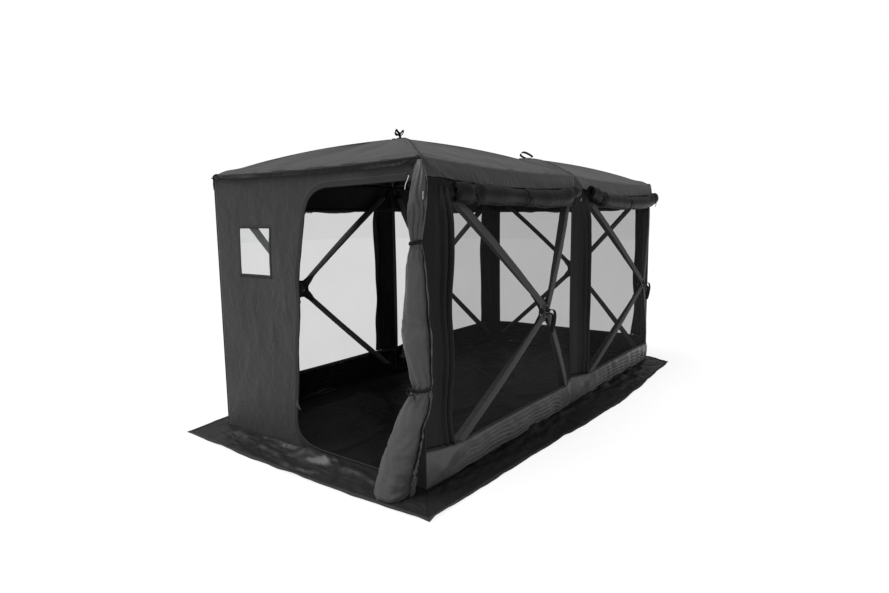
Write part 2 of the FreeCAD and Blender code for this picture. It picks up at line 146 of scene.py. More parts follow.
X, Y, Z = (1, 0, 0), (0, 1, 0), (0, 0, 1)
MINUS_X, MINUS_Y = (-1, 0, 0), (0, -1, 0)
WALLS = [
    Panel("right_front", Y, Z, X, (HALF, -HALF, HALF_WALL), HALF_WALL),
    Panel("right_rear", Y, Z, X, (HALF, HALF, HALF_WALL), HALF_WALL),
    Panel("left_front", MINUS_Y, Z, MINUS_X, (-HALF, -HALF, HALF_WALL), HALF_WALL),
    Panel("left_rear", MINUS_Y, Z, MINUS_X, (-HALF, HALF, HALF_WALL), HALF_WALL),
    Panel("rear", MINUS_X, Z, Y, (0, HALF_LENGTH, HALF_WALL), HALF_WALL),
]
ROOFS = [
    Panel("roof_front", X, Y, Z, (0, -HALF, WALL), HALF),
    Panel("roof_rear", X, Y, Z, (0, HALF, WALL), HALF),
]
for panels, levels, hollow, bow in ((WALLS, ("upper", "lower"), 0.016, 0.018),
                                    (ROOFS, ("rear", "front"), 0.030, 0.040)):
    for panel in panels:
        panel.hollow, panel.bow = hollow, bow
        panel.corners = {f"{level}_{side}": (u, v) for level, v in zip(levels, (1, -1))
                         for side, u in (("left", -1), ("right", 1))}


def slump(points):
    """The eaves hang in and down slightly between the corners, and all cloth near them follows."""
    moved = points.copy()
    x, y, z = points[..., 0], points[..., 1], points[..., 2]
    along = clip(abs(abs(y) - HALF) / HALF, 0, 1)
    across = clip(abs(x) / HALF, 0, 1)
    near_eave = exp(-((z - WALL) / 0.30) ** 2)
    side = smooth(abs(x) / HALF, 0.75, 1.0)
    end = clip((abs(y) / HALF_LENGTH - 0.87) / 0.13, 0, 1) ** 2
    for axis, droop in ((0, EAVE_SAG * (1 - along ** 2) * side), (1, END_SAG * (1 - across ** 2) * end)):
        droop = droop * near_eave
        moved[..., axis] -= np.sign(points[..., axis]) * droop
        moved[..., 2] -= 0.8 * droop
    return moved


# Smooth random fields ----
def field(seed, shortest, longest, waves=18, stretch=1.0):
    """A smooth random function of two lengths, about -1 to 1, made of plane waves."""
    rng = np.random.default_rng(seed)
    angle = rng.uniform(0, 2 * pi, waves)
    number = 2 * pi / exp(rng.uniform(math.log(shortest), math.log(longest), waves))
    phase = rng.uniform(0, 2 * pi, waves)
    along = number * cos(angle)
    across = number * sin(angle) * stretch

    def value(a, b):
        a, b = np.broadcast_arrays(a, b)
        total = np.zeros(a.shape)
        for ka, kb, p in zip(along, across, phase):
            total = total + sin(a * ka + b * kb + p)
        return total / math.sqrt(waves)

    return value


def creases(seed, shortest, longest, stretch=1.0):
    """Sharp small ridges, as in cloth that was folded in a bag."""
    base = field(seed, shortest, longest, 14, stretch)

    def value(a, b):
        return 0.5 - minimum(abs(base(a, b)), 1.0)

    return value


def gathers(x):
    """Folds of gathered cloth: round ridges with sharp valleys between them, -1 to 1."""
    return 2 * abs(sin(x / 2)) - 1


def grid(*coordinates):
    """Points or places from their coordinates."""
    return np.stack(np.broadcast_arrays(*coordinates), axis=-1)


def smooth(x, low, high):
    t = clip((x - low) / (high - low), 0, 1)
    return t * t * (3 - 2 * t)


# Mesh building ----
class Piece:
    """Grids that become one mesh; each point has a place on the flat cloth and a share of a hub's travel."""

    def __init__(self):
        self.points, self.flat, self.travel, self.faces, self.count = [], [], [], [], 0

    def add(self, points, flat, travel=0.0, outward=None):
        """Adds a grid; its faces look outward, if that direction is given."""
        rows, columns = points.shape[:2]
        index = np.arange(rows * columns).reshape(rows, columns) + self.count
        corners = [index[:-1, :-1], index[:-1, 1:], index[1:, 1:], index[1:, :-1]]
        if outward is not None:
            normals = cross(points[:-1, 1:] - points[:-1, :-1], points[1:, :-1] - points[:-1, :-1])
            if normals.sum(axis=(0, 1)) @ outward < 0:
                corners.reverse()
        self.faces.append(np.stack(corners, axis=-1).reshape(-1, 4))
        self.points.append(points.reshape(-1, 3))
        self.flat.append(np.broadcast_to(flat, (rows, columns, 2)).reshape(-1, 2))
        self.travel.append(np.broadcast_to(travel, (rows, columns)).ravel())
        self.count += rows * columns
        return self

    def make(self, name, material, slot, on="shell", thickness=CLOTH, weld=True, lining=None):
        """The object; on is the body that it rides on, or a panel, in which case the object is baked in place."""
        mesh = bpy.data.meshes.new(name)
        mesh.from_pydata(concatenate(self.points).tolist(), [], concatenate(self.faces).tolist())
        loops = np.zeros(len(mesh.loops), np.int32)
        mesh.loops.foreach_get("vertex_index", loops)
        layer = mesh.uv_layers.new(name="cloth")
        layer.data.foreach_set("uv", concatenate(self.flat)[loops].astype(np.float32).ravel())
        mesh.polygons.foreach_set("use_smooth", np.ones(len(mesh.polygons), bool))
        mesh.materials.append(material)
        ob = bpy.data.objects.new(name, mesh)
        bpy.context.scene.collection.objects.link(ob)
        if weld:
            ob.modifiers.new("weld", "WELD").merge_threshold = 0.00005
        if thickness:
            solid = ob.modifiers.new("thickness", "SOLIDIFY")
            solid.thickness = thickness
            solid.offset = 0.0
            # The second material, on the inner shell, is painted shade for the tent's inside.
            if lining:
                mesh.materials.append(lining)
                solid.material_offset = 1
        if isinstance(on, Panel):
            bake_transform(ob)
            travel = concatenate(self.travel).astype(np.float32)
        else:
            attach(ob, on)
        return ob


def on_panel(panel, u, v, lift=0.0):
    return slump(panel.at(u, v, panel.surface(u, v) + lift))


def panel_sheet(panel, name, material, columns, rows, relief=None, slot="wall_cloth", **how):
    """A rectangle of cloth on a panel, from its column places and row places."""
    u, v = meshgrid(columns, rows)
    lift = relief(u, v) if relief else 0.0
    piece = Piece().add(on_panel(panel, u, v, lift), grid(u, v), panel.weight(u, v), panel.n)
    return piece.make(f"{panel.name}_{name}", material, slot, panel, **how)


def tangents(line):
    along = np.gradient(line, axis=0)
    return along / norm(along, axis=1)[:, None]


def lengths(line):
    """How far along a line its points are."""
    return concatenate([[0], np.cumsum(norm(np.diff(line, axis=0), axis=1))])


def sideways(line):
    """Directions across a line in a plane, to its left."""
    tangent = tangents(line)
    return grid(-tangent[:, 1], tangent[:, 0])


def band_sides(line, width, columns):
    """Points either side of a line in a plane, and how far along it they are."""
    line = np.asarray(line, float)
    side = linspace(-0.5, 0.5, columns)
    points = line[:, None] + sideways(line)[:, None] * (side * width)[None, :, None]
    return points, grid(lengths(line)[:, None], side[None, :] + 0.5)


def add_panel_tape(piece, panel, line, width, lift, columns=3):
    """A flat tape on a panel's cloth along a line of (u, v) places."""
    points, flat = band_sides(line, width, columns)
    u, v = points[..., 0], points[..., 1]
    piece.add(on_panel(panel, u, v, lift), flat, panel.weight(u, v))


def add_ribbon(piece, path, across, width, columns=3, travel=0.0, crown=0.0):
    """A band along a path in space, spread to both sides along across; crown curls its edges under."""
    path = np.asarray(path, float)
    across = np.broadcast_to(np.asarray(across, float), path.shape)
    facing = cross(tangents(path), across)
    side = linspace(-0.5, 0.5, columns)
    points = path[:, None] + across[:, None] * (side * width)[None, :, None]
    points = points - facing[:, None] * (crown * (2 * side) ** 2)[None, :, None]
    piece.add(points, grid(lengths(path)[:, None], side[None, :] + 0.5), travel)


def through(points, steps=8):
    """A smooth line through a few points (Catmull-Rom)."""
    p = np.asarray(points, float)
    p = concatenate([[2 * p[0] - p[1]], p, [2 * p[-1] - p[-2]]])
    t = linspace(0, 1, steps, endpoint=False)[:, None]
    spans = []
    for a, b, c, d in zip(p[:-3], p[1:-2], p[2:-1], p[3:]):
        spans.append(0.5 * (2 * b + (c - a) * t + (2 * a - 5 * b + 4 * c - d) * t ** 2
                            + (3 * b - a - 3 * c + d) * t ** 3))
    return concatenate(spans + [p[-2:-1]])


def stations(z, table):
    """Smooth values at z between rows of a table whose first column is falling heights."""
    table = np.asarray(table, float)
    curve = through(table, 12)
    return [np.interp(-z, -curve[:, 0], curve[:, k]) for k in range(1, table.shape[1])]


def places(low, high, half, step=0.025):
    """Places at even shares of a half width, so that grids share points on the diagonals, with both ends."""
    inner = half * np.arange(-1, 1 + step / 2, step)
    margin = 0.3 * step * half
    inner = inner[(inner > low + margin) & (inner < high - margin)]
    return concatenate([[low], inner, [high]])


def spaced(low, high, step):
    return linspace(low, high, max(2, int(round((high - low) / step)) + 1))


# Materials ----
class Shader:
    """A node tree; inputs are set by name or number, to constants or to other nodes' outputs."""

    def __init__(self, owner):
        self.owner = owner
        owner.use_nodes = True
        self.tree = owner.node_tree
        self.tree.nodes.clear()

    def add(self, kind, inputs, **settings):
        node = self.tree.nodes.new("ShaderNode" + kind)
        for key, value in settings.items():
            setattr(node, key, value)
        for key, value in inputs.items():
            if isinstance(value, bpy.types.NodeSocket):
                self.tree.links.new(value, node.inputs[key])
            else:
                node.inputs[key].default_value = value
        return node

    def place(self, kind="UV"):
        return self.add("TexCoord", {}).outputs[kind]

    def noise(self, vector, scale, detail=2.0, roughness=0.5):
        inputs = {"Vector": vector, "Scale": scale, "Detail": detail, "Roughness": roughness}
        return self.add("TexNoise", inputs).outputs["Fac"]

    def maths(self, operation, a, b=0.0):
        return self.add("Math", {0: a, 1: b}, operation=operation).outputs[0]

    def scaled(self, value, factor, offset):
        return self.maths("ADD", self.maths("MULTIPLY", value, factor), offset)

    def weave(self, vector, pitch):
        """Height of a plain weave: warp and weft waves that cross, pitch metres apart."""
        inputs = {"Vector": vector, "Scale": math.pi / 10 / pitch}
        waves = [self.add("TexWave", inputs, wave_type="BANDS", bands_direction=axis) for axis in "XY"]
        return self.maths("MULTIPLY", *(wave.outputs["Fac"] for wave in waves))

    def mottle(self, factor, colour, places, shades):
        """A colour that goes from one shade to another as a factor goes from place to place."""
        node = self.add("ValToRGB", {"Fac": factor})
        for element, place, shade in zip(node.color_ramp.elements, places, shades):
            element.position = place
            element.color = (*(c * shade for c in colour), 1)
        return node.outputs["Color"]

    def bumps(self, *heights):
        """A chain of bump nodes from (height, distance, strength)."""
        inputs = {}
        for height, distance, strength in heights:
            inputs.update(Height=height, Distance=distance, Strength=strength)
            inputs["Normal"] = self.add("Bump", inputs).outputs["Normal"]
        return inputs["Normal"]

    def principled(self, inputs):
        return self.add("BsdfPrincipled", inputs).outputs["BSDF"]

    def over_clear(self, share, surface):
        """A surface with holes: its share of the area, and clear for the rest."""
        clear = self.add("BsdfTransparent", {}).outputs["BSDF"]
        return self.add("MixShader", {0: share, 1: clear, 2: surface}).outputs["Shader"]

    def done(self, shader, kind="OutputMaterial"):
        self.add(kind, {"Surface": shader})
        return self.owner


def new_shader(name):
    return Shader(bpy.data.materials.new(name))


def cloth_material(name, colour, roughness=0.6, sheen=0.25, pitch=0.0011, crumple=0.004, crease_scale=9.0,
                   crease_depth=0.003, coat=0.0, specular=0.22):
    """Coated woven cloth: weave, soft crumples, fold lines left by the bag, and patchy colour."""
    shader = new_shader(name)
    place = shader.place()
    patches = shader.noise(place, 2.3, 4.0, 0.6)
    flecks = shader.noise(place, 420.0, 1.0)
    tone = shader.maths("ADD", shader.maths("MULTIPLY", patches, 0.75), shader.maths("MULTIPLY", flecks, 0.25))
    crumples = shader.noise(place, 14.0, 5.0, 0.62)
    folds = shader.add("TexVoronoi", {"Vector": place, "Scale": crease_scale, "Randomness": 0.8},
                       feature="DISTANCE_TO_EDGE").outputs["Distance"]
    lines = shader.add("MapRange", {"Value": folds, "From Max": 0.09}).outputs["Result"]
    threads = shader.weave(place, pitch)
    normal = shader.bumps((crumples, crumple, 0.55), (lines, crease_depth, 0.35), (threads, pitch * 0.25, 0.5))
    return shader.done(shader.principled({
        "Base Color": shader.mottle(tone, colour, (0.30, 0.70), (0.82, 1.18)), "Normal": normal,
        "Roughness": shader.scaled(patches, 0.16, roughness - 0.08), "Specular IOR Level": specular,
        "Sheen Weight": sheen, "Sheen Roughness": 0.45, "Coat Weight": coat, "Coat Roughness": 0.25}))


def mesh_material(name, colour, cover, pitch=0.0018):
    """Insect mesh: dark threads over open holes."""
    shader = new_shader(name)
    place = shader.place()
    drift = shader.noise(place, 3.0, 3.0)
    threads = shader.weave(place, pitch)
    share = shader.scaled(shader.maths("SUBTRACT", drift, 0.5), 0.05, cover)
    share = shader.maths("ADD", share, shader.maths("MULTIPLY", shader.maths("SUBTRACT", threads, 0.25), 0.10))
    surface = shader.principled({"Base Color": (*colour, 1), "Roughness": 0.75, "Specular IOR Level": 0.2,
                                 "Normal": shader.bumps((threads, pitch * 0.3, 0.5))})
    return shader.done(shader.over_clear(share, surface))


def film_material(name):
    """Clear window film with a fine net behind it: a faint milky haze and small ripples."""
    shader = new_shader(name)
    ripples = shader.noise(shader.place(), 9.0, 3.0)
    surface = shader.principled({"Base Color": (0.72, 0.74, 0.76, 1), "Roughness": 0.12,
                                 "Normal": shader.bumps((ripples, 0.004, 0.5))})
    return shader.done(shader.over_clear(shader.scaled(ripples, 0.05, 0.05), surface))


def tape_material(name, colour, thread, stitch=0.0035):
    """Woven tape with a line of stitches along each edge; U runs along it and V across, 0 to 1."""
    shader = new_shader(name)
    maths = shader.maths
    place = shader.place()
    split = shader.add("SeparateXYZ", {"Vector": place}).outputs
    from_middle = maths("ABSOLUTE", maths("SUBTRACT", split["Y"], 0.5))
    on_line = maths("LESS_THAN", maths("ABSOLUTE", maths("SUBTRACT", from_middle, 0.36)), 0.035)
    dash = maths("GREATER_THAN", maths("FRACT", maths("DIVIDE", split["X"], stitch)), 0.3)
    stitches = maths("MULTIPLY", on_line, dash)
    ribs = maths("SINE", maths("MULTIPLY", split["X"], 2 * math.pi / 0.0012))
    base = shader.mottle(shader.noise(place, 60.0, 2.0), colour, (0.3, 0.7), (0.8, 1.2))
    mix = shader.add("Mix", {0: stitches, 6: base, 7: (*thread, 1)}, data_type="RGBA")
    return shader.done(shader.principled({
        "Base Color": mix.outputs[2], "Roughness": 0.75, "Sheen Weight": 0.03, "Specular IOR Level": 0.12,
        "Normal": shader.bumps((stitches, 0.0006, 0.8), (ribs, 0.00015, 0.5))}))


def hard_material(name, colour, roughness, metallic=0.0, grain=900.0):
    """Moulded plastic, fibreglass or enamelled metal: fine grain, rubbed patches and a little unevenness."""
    shader = new_shader(name)
    place = shader.place("Object")
    fine = shader.noise(place, grain, 2.0)
    worn = shader.noise(place, 22.0, 4.0, 0.65)
    return shader.done(shader.principled({
        "Base Color": shader.mottle(worn, colour, (0.35, 0.72), (0.85, 1.35)), "Metallic": metallic,
        "Roughness": shader.scaled(worn, 0.2, roughness - 0.1), "Specular IOR Level": 0.3,
        "Normal": shader.bumps((fine, 0.0002, 0.4))}))


WALL_CLOTH = cloth_material("wall_cloth", (0.0185, 0.0182, 0.0188), roughness=0.60, sheen=0.10, crumple=0.009,
                            crease_scale=7.0, crease_depth=0.0026)
KICK_CLOTH = cloth_material("kick_cloth", (0.056, 0.056, 0.0575), roughness=0.42, sheen=0.08, crease_scale=6.0,
                            crumple=0.007, crease_depth=0.002, specular=0.35)
# Near-black: the storm flaps' and strips' own dark cloth, and painted shade where the header and the front
# valance take it.
FLAP_AND_PAINTED_SHADE_CLOTH = cloth_material("flap_and_painted_shade_cloth", (0.0058, 0.0058, 0.0060), roughness=0.44, sheen=0.015, crumple=0.008,
                            crease_depth=0.002, specular=0.14)
ROOF_CLOTH = cloth_material("roof_cloth", (0.018, 0.018, 0.020), roughness=0.38, crease_depth=0.001, sheen=0.08,
                            specular=0.44)
VALANCE_CLOTH = cloth_material("valance_cloth", (0.018, 0.018, 0.0195), roughness=0.42, sheen=0.08, crumple=0.008,
                               specular=0.45, crease_depth=0.001)
COVER_CLOTH = cloth_material("cover_cloth", (0.0055, 0.0055, 0.0058), roughness=0.45, specular=0.09, sheen=0.015,
                             crumple=0.009, crease_depth=0.0015)
DOOR_CLOTH = cloth_material("door_cloth", (0.045, 0.045, 0.046), roughness=0.50, sheen=0.10, crumple=0.010,
                            crease_scale=7.0, crease_depth=0.002)
SKIRT_CLOTH = cloth_material("skirt_cloth", (0.011, 0.011, 0.0118), roughness=0.40, coat=0.02, sheen=0.0,
                             specular=0.30, crumple=0.008, crease_depth=0.004, crease_scale=5.0)
# Near-black, darker than the skirt: the floor's own dark cloth, made darker still as painted shade inside the
# tent.
FLOOR_CLOTH = cloth_material("floor_cloth", (0.0035, 0.0035, 0.0037), roughness=0.36, sheen=0.0, specular=0.10,
                             crumple=0.005, crease_depth=0.005, crease_scale=2.6)
# Near-black copy of the cloth for the inner faces of the solid sheets: painted shade for the tent's inside, whose
# real cloth is the same as outside.
INSIDE_PAINTED_SHADE = cloth_material("black_lining", (0.0022, 0.0022, 0.0023), roughness=0.5, sheen=0.0, specular=0.08)
PATCH_CLOTH = cloth_material("patch_cloth", (0.010, 0.010, 0.0102), roughness=0.65, pitch=0.0016, sheen=0.05,
                             crumple=0.002, crease_depth=0.0005)
MESH = mesh_material("insect_mesh", (0.010, 0.010, 0.0105), 0.37)
FILM = film_material("window_film")
SEAM_TAPE = tape_material("seam_tape", (0.018, 0.018, 0.0185), (0.03, 0.03, 0.03))
PIPING = tape_material("piping", (0.050, 0.050, 0.052), (0.07, 0.07, 0.07))
SLEEVE_BAND = tape_material("sleeve_band", (0.042, 0.042, 0.0425), (0.035, 0.035, 0.035), stitch=0.006)
ROOF_TAPE = tape_material("roof_tape", (0.026, 0.026, 0.028), (0.05, 0.05, 0.052), stitch=0.006)
BAND_CLOTH = tape_material("band_cloth", (0.021, 0.021, 0.0215), (0.04, 0.04, 0.04), stitch=0.006)
SKIRT_HEM = tape_material("skirt_hem", (0.026, 0.026, 0.027), (0.03, 0.03, 0.03), stitch=0.006)
WEBBING = tape_material("webbing", (0.004, 0.004, 0.0042), (0.012, 0.012, 0.012))
PALE_TAPE = tape_material("pale_tape", (0.42, 0.43, 0.45), (0.55, 0.55, 0.55))
HUB_PLASTIC = hard_material("hub_plastic", (0.008, 0.008, 0.0085), 0.45)
POLE_GLASS = hard_material("pole_fibreglass", (0.006, 0.006, 0.0062), 0.36, grain=300.0)
ZIP_METAL = hard_material("zip_metal", (0.05, 0.05, 0.052), 0.35, metallic=0.8)
RING_METAL = hard_material("ring_metal", (0.6, 0.6, 0.6), 0.3, metallic=1.0)


# Screens, kick panels, headers and strips ----
SCREEN_LEFT, SCREEN_RIGHT = -HALF + LEFT_STRIP, HALF - RIGHT_STRIP
FLAP_FOOT = -0.74          # the storm flap's free lower end


def from_corners(u):
    """0 at a panel's upright edges, so that neighbours meet, and 1 a hand's breadth inside them."""
    return smooth(HALF - abs(u), 0.0, 0.08)


def billow(seed, depth, low, high):
    """Gentle swells that die away at a sheet's upper and lower seams."""
    swell = field(seed, 0.30, 0.90, 10)

    def relief(u, v):
        return depth * swell(u, v) * sin(pi * clip((v - low) / (high - low), 0, 1)) * from_corners(u)

    return relief


def slack(seed, depth, low, high, sag):
    """Loose cloth between two seams: a sag, drag folds that run slantwise, and small sharp creases."""
    folds = field(seed, 0.09, 0.30, 14, stretch=0.45)
    sharp = creases(seed + 1, 0.12, 0.5, stretch=0.7)

    def relief(u, v):
        away = sin(pi * clip((v - low) / (high - low), 0, 1)) ** 0.7 * from_corners(u)
        return away * (sag + depth * folds(u + 0.9 * v, v) + 0.5 * depth * sharp(u - v, v))

    return relief


def screen(wall, seed):
    columns, rows = places(-HALF, SCREEN_RIGHT, HALF), places(-MESH_HALF, MESH_HALF, HALF_WALL)
    ob = panel_sheet(wall, "screen_mesh", MESH, columns, rows, billow(seed, 0.003, -MESH_HALF, MESH_HALF), "mesh",
                     thickness=0)
    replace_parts(ob, wall.name + "_screen")
    return ob


def kick_panel(wall, seed):
    """Drawn folds run along its foot from both corners, flatter the nearer they are to the ground."""
    loose = slack(seed, 0.005, -HALF_WALL, -MESH_HALF, 0.016)
    wander = field(seed + 5, 0.25, 0.9, 8)

    def relief(u, v):
        total = loose(u, v)
        height = v + HALF_WALL
        away = HALF - abs(u)
        slope = arctan2(height + 0.004, minimum(away, 0.40) + 0.03)
        ridge = gathers(2 * pi * slope / 0.080 + 1.3 * wander(u, v) + seed)
        reach = smooth(away, 0.05, 0.30) * smooth(height, 0.0, 0.02)
        total = total + 0.022 * ridge * exp(-(slope / 0.26) ** 2) * reach
        return maximum(total, -0.010 * from_corners(u))

    return panel_sheet(wall, "kick_panel", KICK_CLOTH, spaced(-HALF, HALF, 0.0115),
                       spaced(-HALF_WALL, -MESH_HALF, 0.0065), relief, lining=INSIDE_PAINTED_SHADE)


def header(wall, seed):
    # The header takes the near-black flap cloth, darker than the wall cloth, as painted shade for the tent's
    # inside.
    return panel_sheet(wall, "header", FLAP_AND_PAINTED_SHADE_CLOTH, spaced(-HALF, HALF, 0.025),
                       spaced(MESH_HALF, HALF_WALL, 0.025), billow(seed, 0.001, MESH_HALF, HALF_WALL),
                       lining=INSIDE_PAINTED_SHADE)


def storm_flap(wall, seed):
    """The strip at the left of the screen: sewn along the corner, its free edge and foot hang in folds."""
    wander = field(seed + 2, 0.5, 1.6, 8)
    phase = np.random.default_rng(seed).uniform(0, 2 * pi)
    u, v = meshgrid(linspace(-HALF, SCREEN_LEFT, 48), spaced(FLAP_FOOT, HALF_WALL - 0.10, 0.02))
    along = (u + HALF) / LEFT_STRIP
    loose = smooth(along, 0.30, 0.95)
    gather = 1 + 0.35 * wander(v, 0 * v)
    wave = gathers(2 * pi * 4.2 * along ** 1.2 + phase + 1.1 * wander(v, 0 * v + 3))
    below_seam = smooth(HALF_WALL - v, 0.10, 0.40)
    lift = 0.004 * smooth(along, 0.0, 0.1) + loose * (0.018 + 0.022 * gather * wave) * below_seam
    pull = 0.062 * along + 0.016 * loose * wander(0 * v + 7, v) * smooth(HALF_WALL - v, 0.2, 1.0)
    piece = Piece().add(on_panel(wall, u - pull, v, lift), grid(u, v), wall.weight(u - pull, v))
    return piece.make(wall.name + "_storm_flap", FLAP_AND_PAINTED_SHADE_CLOTH, "wall_cloth", wall)


def right_strip(wall):
    return panel_sheet(wall, "right_strip", FLAP_AND_PAINTED_SHADE_CLOTH, spaced(SCREEN_RIGHT, HALF, 0.02),
                       spaced(-MESH_HALF, MESH_HALF, 0.025))


def screen_tapes(wall):
    """Binding where the mesh meets the solid cloth, on both sides of it."""
    piece = Piece()
    u = places(-HALF, SCREEN_RIGHT, HALF)
    v = places(-MESH_HALF, MESH_HALF, HALF_WALL)
    for lift in (0.0025, -0.0025):
        for edge in (-MESH_HALF + 0.004, MESH_HALF - 0.004):
            add_panel_tape(piece, wall, grid(u, 0 * u + edge), 0.022, lift)
        add_panel_tape(piece, wall, grid(0 * v + SCREEN_RIGHT, v), 0.022, lift)
    return piece.make(wall.name + "_screen_tapes", SEAM_TAPE, "webbing", wall, thickness=0.0008, weld=False)


def kick_piping(wall):
    """The cord sewn into the seam at the top of the kick panel."""
    piece = Piece()
    u = spaced(-HALF, HALF, 0.02)
    for lift, width in ((0.0050, 0.009), (0.0062, 0.005)):
        line = grid(u, 0 * u - MESH_HALF - 0.010)
        add_panel_tape(piece, wall, line, width, lift * from_corners(u)[:, None])
    return piece.make(wall.name + "_kick_piping", PIPING, "webbing", wall, thickness=0.002, weld=False)


def corner_piping():
    """The upright seams where wall panels meet, each bound with a round cord."""
    piece = Piece()
    z = spaced(0.004, WALL - 0.012, 0.03)
    turn = linspace(0, 2 * pi, 9)
    ring = grid(cos(turn), sin(turn), 0 * turn) * 0.0055
    flat = grid(z[:, None], turn[None, :] / 7)
    for x in (-HALF, HALF):
        for y in (-HALF_LENGTH, 0.0, HALF_LENGTH):
            path = slump(grid(0 * z + x, 0 * z + y, z))
            piece.add(path[:, None] + ring[None], flat)
    piece.make("corner_piping", SEAM_TAPE, "webbing", thickness=0)


# Sleeves and hub patches ----
def corner_frame(panel, corner):
    """In-plane direction to a corner and across it, both as (u, v)."""
    reach = array([corner[0] * panel.half_u, corner[1] * panel.half_v])
    reach /= panel.diagonal
    return reach, array([-reach[1], reach[0]])


def rod_height(panel, r):
    """Height of a pole's middle line at a distance from the hub's middle."""
    run = panel.diagonal - TIP_INSET - PIVOT_RADIUS
    return HUB_RISE - (r - PIVOT_RADIUS) * (HUB_RISE + TIP_DEPTH) / run


def sleeve(panel, corner_name, corner, seed):
    """A flat channel of cloth over the pole: a wide band outside, and a fold round the rod inside."""
    along, across = corner_frame(panel, corner)
    ripple = field(seed, 0.06, 0.3, 10)
    r = spaced(0.044, panel.diagonal - 0.165, 0.025)
    half = SLEEVE_WIDTH / 2
    outer = linspace(-half, half, 7)
    bend = linspace(0, pi, 7)[1:-1]
    inner_s = concatenate([[half * 0.55], ROD_HUG * cos(bend), [-half * 0.55]])
    ridge = panel.surface(along[0] * r, along[1] * r) - 0.0045
    if panel in WALLS:
        ridge = ridge + 0.008 * (1 - smooth(abs(along[1] * r), MESH_HALF - 0.015, MESH_HALF + 0.015))
    drop = np.sqrt((0.2 * outer) ** 2 + 0.0015 ** 2) - 0.0015
    top = ridge[:, None] - drop[None, :]
    rod = rod_height(panel, r)
    low = rod[:, None] - 0.0065 * sin(bend)[None, :] - 0.002
    mid = (0.35 * (rod - 0.002) + 0.65 * (ridge - 0.006))[:, None]
    s = concatenate([outer, inner_s, outer[:1]])
    n = concatenate([top, mid, low, mid, top[:, :1]], axis=1)
    n = n + 0.0008 * ripple(r[:, None], s[None, :] * 3)
    place = along * r[:, None, None] + across * s[None, :, None]
    flat = grid(r[:, None], linspace(0, 1, len(s))[None, :] * 2)
    piece = Piece().add(slump(panel.at(place[..., 0], place[..., 1], n)), flat)
    return piece.make(f"{panel.name}_sleeve_{corner_name}", SLEEVE_BAND, "webbing",
                      f"{panel.name}_pole_{corner_name}", thickness=0.001)


def star_radius(angle, outside):
    """Outline of a hub patch, with arms along the diagonals: short ones outside, where the sleeves cross it."""
    core, arm = (0.052, 0.016) if outside else (0.080, 0.090)
    return core + arm * abs(cos(2 * (angle - pi / 4))) ** 4


def hub_patch(panel, outside):
    """A crossed reinforcement round the hub, sewn over the sleeves' ends."""
    angle = linspace(0, 2 * pi, 97)
    share = linspace(0, 1, 9)[:, None]
    radius = 0.046 + share * (star_radius(angle, outside) - 0.046)[None, :]
    u, v = radius * cos(angle), radius * sin(angle)
    if outside:
        lift = 0.0055 + 0 * u
    else:
        from_arm = radius * sin(abs(angle % (pi / 2) - pi / 4))
        depth = panel.surface(u, v) - rod_height(panel, radius) + 0.014
        lift = -0.004 - depth * exp(-(from_arm / 0.022) ** 2)
    piece = Piece().add(on_panel(panel, u, v, lift), grid(u, v), panel.weight(u, v))
    side = "outer" if outside else "inner"
    return piece.make(f"{panel.name}_hub_patch_{side}", PATCH_CLOTH, "webbing", panel, thickness=0.0016)


def sleeves_and_patches(panel, seed):
    for corner_name, corner in panel.corners.items():
        band = sleeve(panel, corner_name, corner, seed + len(corner_name))
    hub_patch(panel, True)
    hub_patch(panel, False)


# Pull straps ----
STRAP_WIDTH = 0.025


def strap_loop(panel, up, side, turn, points, twist=0.6):
    """Webbing bent through (along, out) places and twisted; along is measured away from up."""
    line = through(points, 10)
    down = -np.asarray(up, float)
    path = panel.centre + line[:, :1] * down + line[:, 1:2] * panel.n
    sway = sin(linspace(0, pi, len(line)))[:, None]
    path = path + sway * turn * side
    lean = twist * sway
    across = side * cos(lean) + (0.5 * down + 0.87 * panel.n) * sin(lean)
    piece = Piece()
    add_ribbon(piece, path, across / norm(across, axis=1)[:, None], STRAP_WIDTH)
    ob = piece.make(panel.name + "_pull_strap", WEBBING, "webbing", panel.hub, thickness=0.0026)
    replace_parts(ob, panel.name + "_strap")
    return ob


# Places along and out; the ends lie on top of the bolt head.
# The loops at the walls' hubs, and on the front and the rear roof.
HANGING = [(-0.030, 0.2905), (-0.012, 0.2905), (0.008, 0.293), (-0.012, 0.318), (-0.006, 0.343), (0.022, 0.352),
           (0.062, 0.350), (0.102, 0.343), (0.140, 0.334), (0.150, 0.327), (0.138, 0.323), (0.100, 0.330),
           (0.060, 0.336), (0.028, 0.333), (0.014, 0.312), (0.022, 0.2935), (0.036, 0.2905)]
BOW = [(-0.034, 0.2905), (-0.014, 0.2905), (0.002, 0.293), (0.006, 0.306), (-0.010, 0.318), (-0.030, 0.333),
       (-0.036, 0.344), (-0.026, 0.350), (-0.008, 0.338), (0.004, 0.326), (0.024, 0.330), (0.046, 0.346),
       (0.064, 0.344), (0.066, 0.326), (0.048, 0.314), (0.022, 0.316), (0.008, 0.308), (0.012, 0.2955),
       (0.030, 0.2905)]
ARCH = [(-0.036, 0.2905), (-0.016, 0.2905), (0.0, 0.2925), (-0.030, 0.305), (-0.058, 0.330), (-0.044, 0.352),
        (-0.010, 0.352), (0.034, 0.334), (0.074, 0.310), (0.088, 0.2955), (0.062, 0.290), (0.030, 0.2895)]


